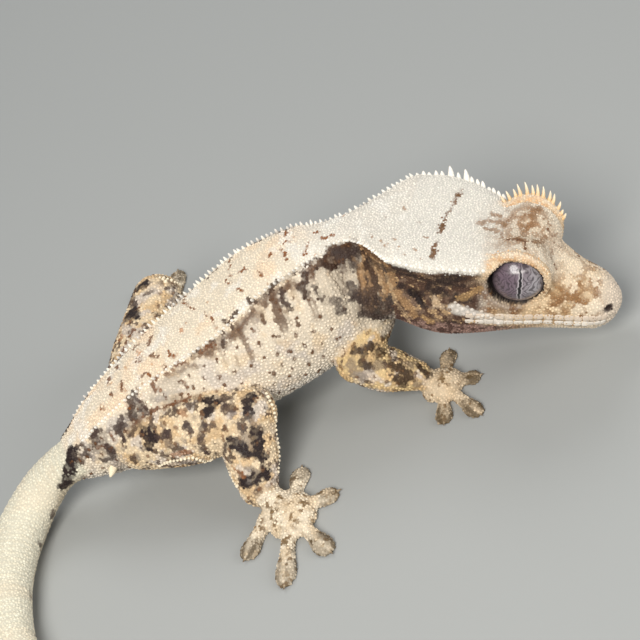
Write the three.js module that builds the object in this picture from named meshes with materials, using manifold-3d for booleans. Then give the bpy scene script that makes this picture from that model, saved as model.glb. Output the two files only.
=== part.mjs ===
// A crested gecko, Correlophus ciliatus, life-size, standing low on four spread feet with its head turned to
// its right and its tail laid on the floor in a curl towards the same side.
// Millimetres. The animal's own frame has +X along the trunk towards the shoulders, +Y to its left and +Z up,
// with the floor at zero height and the origin under the hips. The last step moves it to the centre of its
// footprint.

import * as THREE from "three";
import { mergeVertices } from "three/addons/utils/BufferGeometryUtils.js";
import Module from "manifold-3d";

const wasm = await Module();
wasm.setup();

// Driving dimensions
const GAP = 0.3; // clear space between meshes that touch in life
const HEAD_LENGTH = 24.7; // from the back of the head to the tip of the snout
const HEAD_PLACE = [40.2, -7.2, 20.2]; // top of the back of the head
// The turn of the head in degrees: to its right, nose down, leaning to its left.
const HEAD_TURN = { yaw: -33, pitch: 21.6, roll: -7.3 };
const EYE_RADIUS = 3.1;
const EYE_CENTRE = [13.3, 3.5, -2.6]; // in the head's frame, on the left side
const TAIL_FLATTENING = 0.86; // the tail's height over its width
const TORSO_CUT = 0.3; // share of the way from the chest's ring to the head where the neck starts
const RING_STEPS = 3; // ring points between two of the twelve lines that run along the head, neck and trunk

const COLOURS = {
  cream: [0xe9dcc0, 0.72],
  flank: [0xc9ab82, 0.75],
  tail: [0xeee3c2, 0.7],
  limb: [0xc7a87a, 0.75],
  foot: [0xd8c8a4, 0.75],
  eye: [0x8f8790, 0.12],
};

const point = (place) => new THREE.Vector3(...place);
const radians = THREE.MathUtils.degToRad;
const UP = new THREE.Vector3(0, 0, 1);

// Smooth values between knots: each knot is a parameter followed by the values there.
function line(knots) {
  const last = knots.length - 1;
  const slope = (i, k) => {
    const before = knots[Math.max(0, i - 1)];
    const after = knots[Math.min(last, i + 1)];
    return (after[k] - before[k]) / (after[0] - before[0]);
  };
  return (s) => {
    let i = 0;
    while (i < last - 1 && s > knots[i + 1][0]) i++;
    const [a, b] = [knots[i], knots[i + 1]];
    const span = b[0] - a[0];
    const t = (s - a[0]) / span;
    return a.slice(1).map((value, j) => {
      const k = j + 1;
      const start = value * (2 * t ** 3 - 3 * t ** 2 + 1) + slope(i, k) * span * (t ** 3 - 2 * t ** 2 + t);
      return start + b[k] * (3 * t ** 2 - 2 * t ** 3) + slope(i + 1, k) * span * (t ** 3 - t ** 2);
    });
  };
}

// Equal turns round a circle, in radians.
const turns = (count) => Array.from({ length: count }, (_, i) => (2 * Math.PI * i) / count);

// A closed geometry through rings of points. The first end is flat, the last is flat or runs to a tip.
function loft(rings, tip = null) {
  const sides = rings[0].length;
  const positions = [];
  const push = (...corners) => corners.forEach((p) => positions.push(p.x, p.y, p.z));
  for (let r = 0; r + 1 < rings.length; r++) {
    for (let i = 0; i < sides; i++) {
      const j = (i + 1) % sides;
      push(rings[r][i], rings[r][j], rings[r + 1][j]);
      push(rings[r][i], rings[r + 1][j], rings[r + 1][i]);
    }
  }
  const close = (ring, centre, turned) => {
    ring.forEach((p, i) => {
      const next = ring[(i + 1) % sides];
      if (turned) push(centre, next, p);
      else push(centre, p, next);
    });
  };
  close(rings[0], middleOf(rings[0]), true);
  close(rings.at(-1), tip ?? middleOf(rings.at(-1)), false);
  const geometry = new THREE.BufferGeometry();
  return geometry.setAttribute("position", new THREE.Float32BufferAttribute(positions, 3));
}

function middleOf(ring) {
  return ring.reduce((sum, p) => sum.add(p), new THREE.Vector3()).divideScalar(ring.length);
}

// A geometry as a manifold-3d solid, turned the right way out.
function solid(geometry) {
  const bare = new THREE.BufferGeometry().setAttribute("position", geometry.getAttribute("position"));
  if (geometry.index) bare.setIndex(geometry.index);
  const merged = mergeVertices(bare, 1e-4);
  const vertProperties = merged.attributes.position.array;
  const triVerts = new Uint32Array(merged.index.array);
  const made = new wasm.Manifold(new wasm.Mesh({ numProp: 3, vertProperties, triVerts }));
  if (made.volume() > 0) return made;
  for (let i = 0; i < triVerts.length; i += 3) {
    [triVerts[i + 1], triVerts[i + 2]] = [triVerts[i + 2], triVerts[i + 1]];
  }
  return new wasm.Manifold(new wasm.Mesh({ numProp: 3, vertProperties, triVerts }));
}

const join = (solids) => solids.reduce((sum, next) => sum.add(next));
const cut = (base, ...cutters) => cutters.reduce((left, cutter) => left.subtract(cutter), base);

// Only the largest closed surface is kept, so no scrap or sealed hollow stays.
function largest(made) {
  return made.decompose().reduce((best, piece) => (piece.volume() > best.volume() ? piece : best));
}

const floor = solid(new THREE.BoxGeometry(400, 400, 20).translate(0, 0, -10));

// The head's frame: +X to the snout, +Y to the animal's left, +Z up from the flat of the head.
const headMatrix = new THREE.Matrix4()
  .makeTranslation(...HEAD_PLACE)
  .multiply(new THREE.Matrix4().makeRotationZ(radians(HEAD_TURN.yaw)))
  .multiply(new THREE.Matrix4().makeRotationY(radians(HEAD_TURN.pitch)))
  .multiply(new THREE.Matrix4().makeRotationX(radians(HEAD_TURN.roll)));
const onHead = (x, y, z) => new THREE.Vector3(x, y, z).applyMatrix4(headMatrix);
const headDirection = (x, y, z) => new THREE.Vector3(x, y, z).transformDirection(headMatrix);

// Twelve lines run along the head, neck and trunk: one on the back, five down each side and one under the
// belly. A ring is a smooth closed curve through them, given as seven [sideways, up] pairs, back to belly.
function ringThrough(half, place) {
  const mirrored = half.slice(1, -1).reverse();
  const outline = [...half, ...mirrored.map(([y, z]) => [-y, z])];
  const curve = new THREE.CatmullRomCurve3(
    outline.map(([y, z]) => new THREE.Vector3(0, y, z)),
    true,
    "centripetal",
  );
  const count = outline.length * RING_STEPS;
  return Array.from({ length: count }, (_, i) => {
    const p = curve.getPoint(i / count);
    return place(p.y, p.z);
  });
}

// The head's lines in its own frame: place along the head, then half width and height.
const headLines = {
  top: line([
    [0, 0, 0.6], [6, 0, 0.5], [10, 0, 0.1], [13, 0, 0.2],
    [16.3, 0, -1.15], [20, 0, -3.1], [24.7, 0, -5.2],
  ]),
  crest: line([
    [0, 8.5, 0], [3.4, 9, 0], [7, 8.2, -0.2], [10.2, 6.8, -0.7],
    [13, 5.2, 0.2], [16.3, 3.4, -2.0], [20, 2.4, -4.1], [24.7, 1.9, -5.9],
  ]),
  temple: line([
    [0, 6.8, -3.2], [3.4, 6.9, -3.6], [8, 6.5, -3.7],
    [13, 5.2, -3.2], [17, 4.1, -4.6], [24.7, 2.9, -6.6],
  ]),
  upperLip: line([
    [0, 6.8, -6], [4, 7, -6.5], [8, 6.6, -7.2], [13, 5.6, -7.4], [18, 4.4, -7.5], [24.7, 3.2, -7.5],
  ]),
  lowerLip: line([
    [0, 6.4, -8.4], [4, 6.6, -8.9], [8, 6.2, -8.9], [13, 5.2, -8.9], [18, 4, -8.9], [24.7, 2.9, -8.7],
  ]),
  jaw: line([[0, 5, -10.6], [5, 5.2, -11.6], [9, 4.5, -11.4], [15, 3.3, -10.4], [24.7, 2.0, -9.9]]),
  chin: line([[0, 0, -11.6], [5, 0, -12.6], [9, 0, -12.3], [15, 0, -10.9], [24.7, 0, -10.2]]),
};
const SNOUT_ROUNDING = 3.1; // length over which the snout closes
const SNOUT_TIP_HEIGHT = -7.4;
const LIP_SCUTE = 0.16; // how far the lips' scutes stand out

// Closes the snout as an ellipse: 1 on the head, 0 at the tip.
function snoutClosing(x) {
  const past = Math.max(0, x - (HEAD_LENGTH - SNOUT_ROUNDING)) / SNOUT_ROUNDING;
  return Math.sqrt(Math.max(0, 1 - past * past));
}

// Every other ring of the head stands out at the lips, which makes the row of scutes along them.
function headHalf(x, scute = 0) {
  const closing = snoutClosing(x);
  return Object.entries(headLines).map(([name, along]) => {
    const [y, z] = along(x);
    const out = name.endsWith("Lip") ? LIP_SCUTE * scute : 0;
    return [(y + out) * closing, SNOUT_TIP_HEIGHT + (z - SNOUT_TIP_HEIGHT) * closing];
  });
}

const headRing = (x, scute) => ringThrough(headHalf(x, scute), (y, z) => onHead(x, y, z));

// The trunk's sizes by place along it: sideways shift, half width, height of the back, half spacing and
// height of the two crest rows, and height of the belly.
const trunk = line([
  [-6.5, 0.9, 3.0, 10.3, 2.2, 9.8, 4.4],
  [-3, 0.4, 4.3, 12.6, 2.9, 12.0, 3.9],
  [2, 0.1, 5.6, 14.8, 3.6, 14.2, 3.7],
  [8, 0, 6.8, 16.5, 4.4, 15.8, 3.7],
  [15, 0, 7.8, 18.0, 5.2, 17.2, 3.8],
  [21, -0.3, 8.1, 19.8, 4.8, 19.1, 4.2],
  [26, -1.0, 7.7, 20.5, 4.2, 19.8, 4.9],
  [29, -1.6, 7.2, 20.7, 3.6, 20.0, 5.4],
]);
const VENT = -6.5;
const CHEST = 29;

// Half of a trunk ring from its sizes, grown outwards by a margin.
function trunkHalf([, half, back, rowHalf, rowHeight, belly], grow = 0) {
  const middle = (rowHeight + belly) / 2;
  return [
    [0, back + grow],
    [rowHalf + grow * 0.6, rowHeight + grow],
    [half * 0.93 + grow, middle + (rowHeight - middle) * 0.5],
    [half + grow, middle - (middle - belly) * 0.05],
    [half * 0.92 + grow, middle - (middle - belly) * 0.5],
    [half * 0.66 + grow * 0.7, belly + (middle - belly) * 0.14 - grow],
    [0, belly - grow],
  ];
}

function trunkRing(x, grow = 0) {
  const sizes = trunk(x);
  return ringThrough(trunkHalf(sizes, grow), (y, z) => new THREE.Vector3(x, sizes[0] + y, z));
}

const crestIndex = { left: RING_STEPS, right: 11 * RING_STEPS };

// The neck swings from the chest's ring to the back of the head, each point on its own smooth path.
const NECK_PULL = 7; // how far each end's own direction is kept
const chestRing = trunkRing(CHEST);
const napeRing = headRing(0);
const chestForward = new THREE.Vector3(0.95, -0.3, 0.1).normalize();
const headForward = headDirection(1, 0, 0);

function between(start, end, t, pull = NECK_PULL) {
  return new THREE.Vector3()
    .addScaledVector(start, 2 * t ** 3 - 3 * t ** 2 + 1)
    .addScaledVector(chestForward, pull * (t ** 3 - 2 * t ** 2 + t))
    .addScaledVector(end, 3 * t ** 2 - 2 * t ** 3)
    .addScaledVector(headForward, pull * (t ** 3 - t ** 2));
}

// The two crest rows draw in over the neck before they flare out to the corners of the head.
const NECK_PINCH = { crest: 0.52, below: 0.16, height: 6 };
function neckRing(t, grow = 0) {
  const ring = chestRing.map((p, i) => between(p, napeRing[i], t));
  const middle = middleOf(ring);
  const side = ring[crestIndex.left].clone().sub(ring[crestIndex.right]).normalize();
  const strength = Math.sin(Math.PI * t ** 0.75) ** 2;
  return ring.map((p) => {
    const offset = p.clone().sub(middle);
    const high = THREE.MathUtils.smoothstep(offset.z, 0, NECK_PINCH.height);
    const pinch = strength * THREE.MathUtils.lerp(NECK_PINCH.below, NECK_PINCH.crest, high);
    return p.addScaledVector(side, -offset.dot(side) * pinch).addScaledVector(offset.normalize(), grow);
  });
}

function steps(from, to, count) {
  return Array.from({ length: count + 1 }, (_, i) => from + ((to - from) * i) / count);
}

const NECK_LENGTH = middleOf(chestRing).distanceTo(middleOf(napeRing));
const NECK_GAP = GAP / 2 / NECK_LENGTH; // half of the clear space, as a share of the neck's length

function torsoRings(grow = 0) {
  const along = steps(VENT + GAP / 2, CHEST, 13).map((x) => trunkRing(x, grow));
  return [...along, ...steps(TORSO_CUT / 2, TORSO_CUT - NECK_GAP, 1).map((t) => neckRing(t, grow))];
}

const neckRings = (grow = 0) => steps(TORSO_CUT + NECK_GAP, 1 - NECK_GAP, 5).map((t) => neckRing(t, grow));

// A small spine, a cone of four sides whose root is sunk in what it grows from. A bent one has a ring midway.
const SPINE_SIDES = 4;
function spine(root, direction, length, radius, bend = null) {
  const sink = Math.min(0.45, length * 0.6);
  const sway = bend ?? new THREE.Vector3();
  const start = root.clone().addScaledVector(direction, -sink);
  const middle = root.clone().addScaledVector(direction, length * 0.45).addScaledVector(sway, length * 0.08);
  const tip = root.clone().addScaledVector(direction, length).addScaledVector(sway, length * 0.4);
  const side = new THREE.Vector3().crossVectors(direction, new THREE.Vector3(0.3, 0.1, 1)).normalize();
  const other = new THREE.Vector3().crossVectors(direction, side);
  const circle = (centre, r) =>
    turns(SPINE_SIDES).map((a) =>
      centre.clone().addScaledVector(side, r * Math.cos(a)).addScaledVector(other, r * Math.sin(a)),
    );
  const rings = bend ? [circle(start, radius), circle(middle, radius * 0.66)] : [circle(start, radius)];
  return solid(loft(rings, tip));
}

// The same lengths every time: a small repeatable jitter between -1 and 1.
const jitter = (i) => Math.sin(i * 12.9898 + 4.1) * Math.cos(i * 4.37);

// Rows of small spines down both sides of the back.
const BACK_SPINES = { count: 17, length: 0.62, radius: 0.27 };
function backSpines() {
  return steps(-4.6, CHEST, BACK_SPINES.count).flatMap((x, i) => {
    const [shift, , , rowHalf, rowHeight] = trunk(x);
    return [1, -1].map((side) => {
      const root = new THREE.Vector3(x, shift + side * rowHalf, rowHeight);
      const direction = new THREE.Vector3(-0.15, side * 0.45, 1).normalize();
      return spine(root, direction, BACK_SPINES.length * (1 + 0.25 * jitter(i)), BACK_SPINES.radius);
    });
  });
}

// The rows run on over the neck and swing out to the corners of the head.
const NECK_SPINES = { count: 6, length: 0.62, radius: 0.28 };
function crestOnNeck(side, t) {
  const i = side > 0 ? crestIndex.left : crestIndex.right;
  const outward = new THREE.Vector3(0, side * 0.45, 1).lerp(headDirection(0, side * 0.8, 0.6), t).normalize();
  return { root: neckRing(t)[i], direction: outward };
}

function neckSpines(from, to) {
  const wanted = steps(0.12, 0.9, NECK_SPINES.count).filter((t) => t > from && t < to);
  return wanted.flatMap((t, k) =>
    [1, -1].map((side) => {
      const { root, direction } = crestOnNeck(side, t);
      return spine(root, direction, NECK_SPINES.length * (1 + 0.3 * jitter(k + 7)), NECK_SPINES.radius);
    }),
  );
}

// Spines of the head's crest, longest at the corners, then the fringe of lashes over each eye.
const HEAD_SPINES = { count: 8, length: 0.6, cornerLength: 1.5, radius: 0.3 };
function crestSpines(side) {
  return steps(0.7, 10.6, HEAD_SPINES.count).map((x, i) => {
    const [y, z] = headLines.crest(x);
    const atCorner = i === 2 || i === 3;
    const length = atCorner ? HEAD_SPINES.cornerLength : HEAD_SPINES.length * (1 + 0.3 * jitter(i + 3));
    const direction = headDirection(-0.2, side * 0.8, 0.6);
    return spine(onHead(x, side * (y - 0.1), z), direction, length, HEAD_SPINES.radius);
  });
}

// A thin dome of skin covers each eye towards the crown. It ends in a rim round the bare part of the eye,
// which thickens above it into an arched brow and leans out there.
const LID = { wall: 0.5, radius: 3.45, upper: 0.62, lower: 0.38, sideways: 1.45, lean: 0.6, opening: 3.2 };
function lidPlace(side, degrees, radius = LID.radius, outward = 0) {
  const a = radians(degrees);
  const y = EYE_CENTRE[1] + LID.sideways + LID.lean * Math.sin(a) + outward;
  return [EYE_CENTRE[0] + radius * Math.cos(a), side * y, EYE_CENTRE[2] + radius * Math.sin(a)];
}

// Everything outwards of the rim, inside its opening.
function eyeOpening(side) {
  const ring = (outward) => turns(20).map((a) => {
    const place = lidPlace(side, THREE.MathUtils.radToDeg(a), LID.opening, outward);
    return onHead(...place);
  });
  return solid(loft([ring(-0.1), ring(5)]));
}

function lid(side) {
  const ringSides = 5;
  const rings = turns(18).map((a) => {
    const degrees = THREE.MathUtils.radToDeg(a);
    const thickness = LID.lower + (LID.upper - LID.lower) * Math.max(0, Math.sin(a));
    return turns(ringSides).map((b) => {
      const [x, y, z] = lidPlace(side, degrees, LID.radius + thickness * Math.cos(b));
      return onHead(x, y + side * thickness * 0.9 * Math.sin(b), z);
    });
  });
  const positions = [];
  const push = (...corners) => corners.forEach((p) => positions.push(p.x, p.y, p.z));
  rings.forEach((ring, r) => {
    const next = rings[(r + 1) % rings.length];
    ring.forEach((p, i) => {
      const j = (i + 1) % ringSides;
      push(p, ring[j], next[j]);
      push(p, next[j], next[i]);
    });
  });
  const geometry = new THREE.BufferGeometry();
  return solid(geometry.setAttribute("position", new THREE.Float32BufferAttribute(positions, 3)));
}

const LASHES = { count: 12, from: 12, to: 158, longest: 1.6, shortest: 0.7, radius: 0.25 };
function lashes(side) {
  return steps(LASHES.from, LASHES.to, LASHES.count - 1).map((degrees, i) => {
    const a = radians(degrees);
    const rise = Math.sin(a) * (0.82 + 0.18 * jitter(i * 2 + 1));
    const length = LASHES.shortest + (LASHES.longest - LASHES.shortest) * Math.max(0, rise);
    const root = onHead(...lidPlace(side, degrees, LID.radius + LID.upper * 0.7));
    const direction = headDirection(Math.cos(a) * 0.9, side * 0.62, Math.sin(a));
    return spine(root, direction, length, LASHES.radius, headDirection(-0.5, 0, 0.4));
  });
}

// The mouth closes on a plane that falls a little from the snout to the corner.
const MOUTH_CORNER = 7.5;
function mouthHeight(x) {
  return -8.1 - ((x - MOUTH_CORNER) / (HEAD_LENGTH - MOUTH_CORNER)) * 0.2;
}

function mouthSlab(below) {
  // everything below the mouth line from the corner forwards, or that and the cut itself
  const top = below ? -GAP / 2 : GAP / 2;
  const rear = MOUTH_CORNER + (below ? GAP / 2 : -GAP / 2);
  const profile = [
    [rear, -20],
    [40, -20],
    [40, mouthHeight(40) + top],
    [rear, mouthHeight(rear) + top],
  ];
  const face = (y) => profile.map(([x, z]) => onHead(x, y, z));
  return solid(loft([face(-20), face(20)]));
}

// An ellipsoid in the head's frame.
function headBall([x, y, z], [rx, ry, rz], detail) {
  const ball = mergeVertices(stripped(new THREE.IcosahedronGeometry(1, detail)), 1e-4);
  return solid(ball.scale(rx, ry, rz).translate(x, y, z).applyMatrix4(headMatrix));
}

function stripped(geometry) {
  return new THREE.BufferGeometry().setAttribute("position", geometry.getAttribute("position"));
}

const NOSTRIL = { place: [23.1, 2.5, -6.9], size: [0.42, 0.6, 0.36] };
const EAR = { place: [2.6, 7.1, -5.6], size: [0.7, 1.1, 1.15] };
const EYE_WALL = 0.25; // half the thickness of the wall between the two sockets
const mirrorY = ([x, y, z], side) => [x, side * y, z];

function eyeBall(side, grow, detail) {
  return headBall(mirrorY(EYE_CENTRE, side), Array(3).fill(EYE_RADIUS + grow), detail);
}

function midWall(half) {
  const slab = new THREE.BoxGeometry(12, 2 * half, 12).translate(EYE_CENTRE[0], 0, EYE_CENTRE[2]);
  return solid(slab.applyMatrix4(headMatrix));
}

function headWhole() {
  const places = [...steps(GAP / 2, HEAD_LENGTH - SNOUT_ROUNDING, 17), ...snoutSteps()];
  const rings = places.map((x, i) => headRing(x, x > MOUTH_CORNER && i % 2 ? 1 : 0));
  const sides = [1, -1];
  const grown = join([
    solid(loft(rings)),
    ...sides.flatMap((side) => [
      eyeBall(side, GAP + LID.wall, 3),
      lid(side),
      ...crestSpines(side),
      ...lashes(side),
    ]),
  ]);
  return cut(
    grown,
    ...sides.flatMap((side) => [
      cut(eyeBall(side, GAP, 3), midWall(EYE_WALL)),
      eyeOpening(side),
      headBall(mirrorY(NOSTRIL.place, side), NOSTRIL.size, 1),
      headBall(mirrorY(EAR.place, side), EAR.size, 1),
    ]),
  );
}

function snoutSteps() {
  // equal turns round the snout's ellipse, stopping just short of the tip
  const quarter = [18, 36, 54, 70, 82];
  return quarter.map((degrees) => HEAD_LENGTH - SNOUT_ROUNDING * (1 - Math.sin(radians(degrees))));
}

// A limb segment: a tapered, slightly flattened capsule.
const LIMB_SIDES = 12;
function segment({ from, to, radii, flat = 0.85, across = [0, 0, 1] }, grow = 0) {
  const [start, end] = [point(from), point(to)];
  const axis = end.clone().sub(start);
  const length = axis.length();
  axis.normalize();
  const wide = new THREE.Vector3().crossVectors(point(across), axis).normalize();
  const thin = new THREE.Vector3().crossVectors(axis, wide);
  const size = line(radii.map((r, i) => [i / (radii.length - 1), r]));
  const caps = [radii[0] + grow, radii.at(-1) + grow];
  const quarter = [76, 48, 22];
  const places = [
    ...quarter.map((d) => [-caps[0] * Math.sin(radians(d)), Math.cos(radians(d))]),
    ...steps(0, length, 4).map((s) => [s, 1]),
    ...quarter.toReversed().map((d) => [length + caps[1] * Math.sin(radians(d)), Math.cos(radians(d))]),
  ];
  const rings = places.map(([s, closing]) => {
    const share = Math.min(1, Math.max(0, s / length));
    const r = (size(share)[0] + grow) * closing;
    const centre = start.clone().addScaledVector(axis, s);
    return turns(LIMB_SIDES).map((a) =>
      centre.clone().addScaledVector(wide, r * Math.cos(a)).addScaledVector(thin, r * flat * Math.sin(a)),
    );
  });
  return solid(loft(rings));
}

// Feet: a flat palm and five toes that widen into pads, with a small claw on each.
const CLAW = { length: 0.7, radius: 0.24 };
const TOE_WIDTHS = [[0, 1.05], [0.5, 0.82], [0.78, 1.3], [0.93, 1.1], [1, 0.55]];
const TOE_HEIGHTS = [[0, 1.9], [0.5, 1.35], [0.78, 1.05], [0.93, 0.8], [1, 0.5]];
const TOE_SECTION = [[-1, 0], [-0.86, 0.62], [-0.4, 1], [0.4, 1], [0.86, 0.62], [1, 0]];
function toe(palm, [x, y, rootX = palm[0], rootY = palm[1]], scale) {
  const start = new THREE.Vector3(rootX, rootY, 0);
  const end = new THREE.Vector3(x, y, 0);
  const axis = end.clone().sub(start).normalize();
  const side = new THREE.Vector3(-axis.y, axis.x, 0);
  const [widths, heights] = [line(TOE_WIDTHS), line(TOE_HEIGHTS)];
  const rings = [0.12, 0.5, 0.66, 0.8, 0.93, 1].map((t) => {
    const centre = start.clone().lerp(end, t);
    const [w, h] = [widths(t)[0] * scale, heights(t)[0] * scale];
    return TOE_SECTION.map(([across, high]) =>
      centre.clone().addScaledVector(side, w * across).addScaledVector(UP, h * high),
    );
  });
  const clawRoot = end.clone().addScaledVector(axis, -0.1).setZ(0.3 * scale);
  const forward = axis.clone().setZ(0.25).normalize();
  const claw = spine(clawRoot, forward, CLAW.length * scale, CLAW.radius * scale);
  return join([solid(loft(rings)), claw]);
}

// A short round piece from the ankle or wrist into the palm.
const HEEL_SIDES = 8;
function heelLink(from, to, radius) {
  const axis = to.clone().sub(from).normalize();
  const side = new THREE.Vector3().crossVectors(UP, axis).normalize();
  const up = new THREE.Vector3().crossVectors(axis, side);
  const rings = [[-0.7, 0.55], [-0.35, 0.9], [0.3, 1], [1, 1]].map(([along, closing]) => {
    const centre = from.clone().lerp(to, Math.max(0, along));
    centre.addScaledVector(axis, Math.min(0, along) * radius);
    return turns(HEEL_SIDES).map((a) =>
      centre
        .clone()
        .addScaledVector(side, radius * closing * Math.cos(a))
        .addScaledVector(up, radius * 0.85 * closing * Math.sin(a)),
    );
  });
  return solid(loft(rings));
}

function foot({ palm, size, height, heel, toes, scale = 1 }) {
  const dome = mergeVertices(stripped(new THREE.IcosahedronGeometry(1, 2)), 1e-4);
  const pad = solid(dome.scale(...size, height).translate(...palm, height * 0.35));
  const link = heelLink(point(heel), new THREE.Vector3(...palm, height * 0.6), 1.6 * scale);
  return cut(join([pad, link, ...toes.map((tip) => toe(palm, tip, scale))]), floor);
}

// Limbs by joint, with radii along each segment. A toe is given by the place of its tip, and by its root
// where that isn't the middle of the palm.
const LIMBS = {
  fore_right: {
    upper: { from: [31.8, -5.4, 9.6], to: [27.4, -8.6, 6.6], radii: [3.1, 2.9, 2.4] },
    lower: { from: [27.4, -8.6, 6.6], to: [32.6, -11.0, 2.8], radii: [2.5, 2.9, 2.0] },
    foot: {
      palm: [34.9, -12.4],
      size: [2.7, 2.5],
      height: 1.8,
      heel: [33.0, -11.3, 2.2],
      toes: [[33.2, -8.2], [37.7, -7.0], [39.2, -13.7], [36.8, -19.7], [32.7, -18.0]],
      scale: 0.85,
    },
  },
  fore_left: {
    upper: { from: [32.4, 3.0, 9.4], to: [34.4, 11.0, 7.2], radii: [3.1, 2.8, 2.3] },
    lower: { from: [34.4, 11.0, 7.2], to: [41.0, 12.6, 2.7], radii: [2.4, 2.6, 1.9] },
    foot: {
      palm: [43.6, 13.2],
      size: [2.7, 2.5],
      height: 1.8,
      heel: [41.6, 12.7, 2.2],
      toes: [[43.4, 8.2], [47.8, 8.8], [49.6, 13.2], [47.6, 17.8], [42.4, 18.6]],
      scale: 0.85,
    },
  },
  hind_right: {
    upper: { from: [2.0, -2.6, 7.8], to: [13.6, -9.6, 8.6], radii: [4.5, 4.8, 3.5], flat: 0.92 },
    lower: { from: [12.8, -10.0, 8.0], to: [10.8, -14.8, 2.7], radii: [3.5, 3.2, 2.3], across: [0, 1, 0] },
    foot: {
      palm: [12.6, -19.3],
      size: [3.1, 3.9],
      height: 1.9,
      heel: [11.0, -15.8, 2.2],
      toes: [[16.0, -12.8], [18.5, -19.4], [14.8, -27.6], [8.6, -28.8], [5.8, -21.8, 10.6, -17.4]],
    },
  },
  hind_left: {
    upper: { from: [2.0, 2.6, 8.0], to: [9.8, 15.6, 11.2], radii: [4.5, 4.3, 3.3], flat: 0.92 },
    lower: { from: [9.8, 15.6, 11.2], to: [9.4, 22.4, 2.7], radii: [3.2, 3.0, 2.3], across: [1, 0, 0] },
    foot: {
      palm: [9.8, 26.6],
      size: [3.1, 3.9],
      height: 1.9,
      heel: [9.6, 23.2, 2.2],
      toes: [[15.2, 21.8], [17.2, 27.8], [12.6, 35.2], [6.2, 35.8], [3.0, 28.0, 8.2, 25.2]],
    },
  },
};

// The tail's route on the floor: place of its middle and half width, from the vent to the tip.
const TAIL = [
  [-5.5, 0.7, 7.4, 3.1],
  [-9.5, 1.9, 6.1, 2.8],
  [-13, 2.0, 4.4, 3.0],
  [-16.6, -0.2, 3.0, 3.2],
  [-19.6, -5, 2.65, 3.2],
  [-21.4, -11, 2.55, 3.05],
  [-22, -19, 2.35, 2.8],
  [-20.2, -26.4, 2.0, 2.4],
  [-16, -32.6, 1.65, 2.0],
  [-9.8, -36.8, 1.25, 1.55],
  [-2.8, -38.8, 0.95, 1.2],
  [4.2, -39.2, 0.8, 1.35],
];
const TAIL_CUTS = [0, 3, 5.5, 8, 11]; // where the tail's lengths part, as knots of its route
const tailLine = line(TAIL.map((row, i) => [i, ...row]));
const TAIL_SIDES = 14;

function tailRing(u, closing = 1, push = 0) {
  const [x, y, z, half] = tailLine(u);
  const ahead = point(tailLine(Math.min(u + 0.05, TAIL.length - 1)));
  const behind = point(tailLine(Math.max(u - 0.05, 0)));
  const axis = ahead.sub(behind).normalize();
  const side = new THREE.Vector3().crossVectors(UP, axis).normalize();
  const up = new THREE.Vector3().crossVectors(axis, side);
  const centre = new THREE.Vector3(x, y, z).addScaledVector(axis, push);
  return turns(TAIL_SIDES).map((a) =>
    centre
      .clone()
      .addScaledVector(side, half * closing * Math.cos(a))
      .addScaledVector(up, half * TAIL_FLATTENING * closing * Math.sin(a)),
  );
}

const trunkSpace = solid(new THREE.BoxGeometry(40, 40, 40).translate(VENT - GAP / 2 + 20, 0, 10));

// Half of the clear space between two lengths of the tail, in knots of its route near knot u.
function halfGapInKnots(u) {
  const after = Math.min(u + 0.5, TAIL.length - 1);
  const spacing = point(tailLine(after)).distanceTo(point(tailLine(after - 1)));
  return GAP / 2 / spacing;
}

const TAIL_TIP = 1.3; // length of the rounding at the tail's end
function tailLength(from, to, last) {
  const start = from ? from + halfGapInKnots(from) : 0;
  const end = last ? to : to - halfGapInKnots(to);
  const rings = steps(start, end, Math.round((to - from) * 3)).map((u) => tailRing(u));
  const rounding = last ? [35, 60, 80].map(radians) : [];
  const tip = rounding.map((a) => tailRing(to, Math.cos(a), TAIL_TIP * Math.sin(a)));
  return largest(cut(solid(loft([...rings, ...tip])), floor, trunkSpace));
}

// Every node's solid
const torso = solid(loft(torsoRings()));
const neck = solid(loft(neckRings()));
const head = headWhole();
const solids = {
  torso: join([torso, ...backSpines(), ...neckSpines(0, TORSO_CUT - 0.1)]),
  neck: join([neck, ...neckSpines(TORSO_CUT + 0.1, 0.9)]),
  head: cut(head, mouthSlab(false)),
  lower_jaw: head.intersect(mouthSlab(true)),
  eye_left: cut(eyeBall(1, 0, 3), midWall(EYE_WALL + GAP)),
  eye_right: cut(eyeBall(-1, 0, 3), midWall(EYE_WALL + GAP)),
};
const bodySpace = solid(loft([...torsoRings(GAP), ...neckRings(GAP)]));
for (const [name, parts] of Object.entries(LIMBS)) {
  const upper = segment(parts.upper);
  const upperGrown = segment(parts.upper, GAP);
  const lower = cut(segment(parts.lower), upperGrown, bodySpace);
  solids[`${name}_upper`] = cut(upper, bodySpace);
  solids[`${name}_lower`] = lower;
  solids[`${name}_foot`] = cut(foot(parts.foot), segment(parts.lower, GAP), upperGrown);
}
TAIL_CUTS.slice(0, -1).forEach((from, i) => {
  const last = i === TAIL_CUTS.length - 2;
  solids[`tail_${i + 1}`] = tailLength(from, TAIL_CUTS[i + 1], last);
});

function materialOf(name) {
  const kind = Object.entries({
    eye: "eye",
    tail: "tail",
    foot: "foot",
    fore: "limb",
    hind: "limb",
    neck: "flank",
  }).find(([word]) => name.includes(word));
  const [color, roughness] = COLOURS[kind ? kind[1] : "cream"];
  return new THREE.MeshStandardMaterial({ color, roughness, metalness: 0 });
}

const gecko = new THREE.Group();
for (const [name, made] of Object.entries(solids)) {
  const { vertProperties, triVerts } = largest(made).getMesh();
  const geometry = new THREE.BufferGeometry()
    .setAttribute("position", new THREE.BufferAttribute(vertProperties, 3))
    .setIndex(new THREE.BufferAttribute(triVerts, 1));
  geometry.computeVertexNormals();
  const mesh = new THREE.Mesh(geometry, materialOf(name));
  mesh.name = name;
  gecko.add(mesh);
}

// The origin goes to the middle of the footprint, on the floor.
const box = new THREE.Box3().setFromObject(gecko);
const middle = box.getCenter(new THREE.Vector3());
gecko.position.set(-middle.x, -middle.y, -box.min.z);

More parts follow.
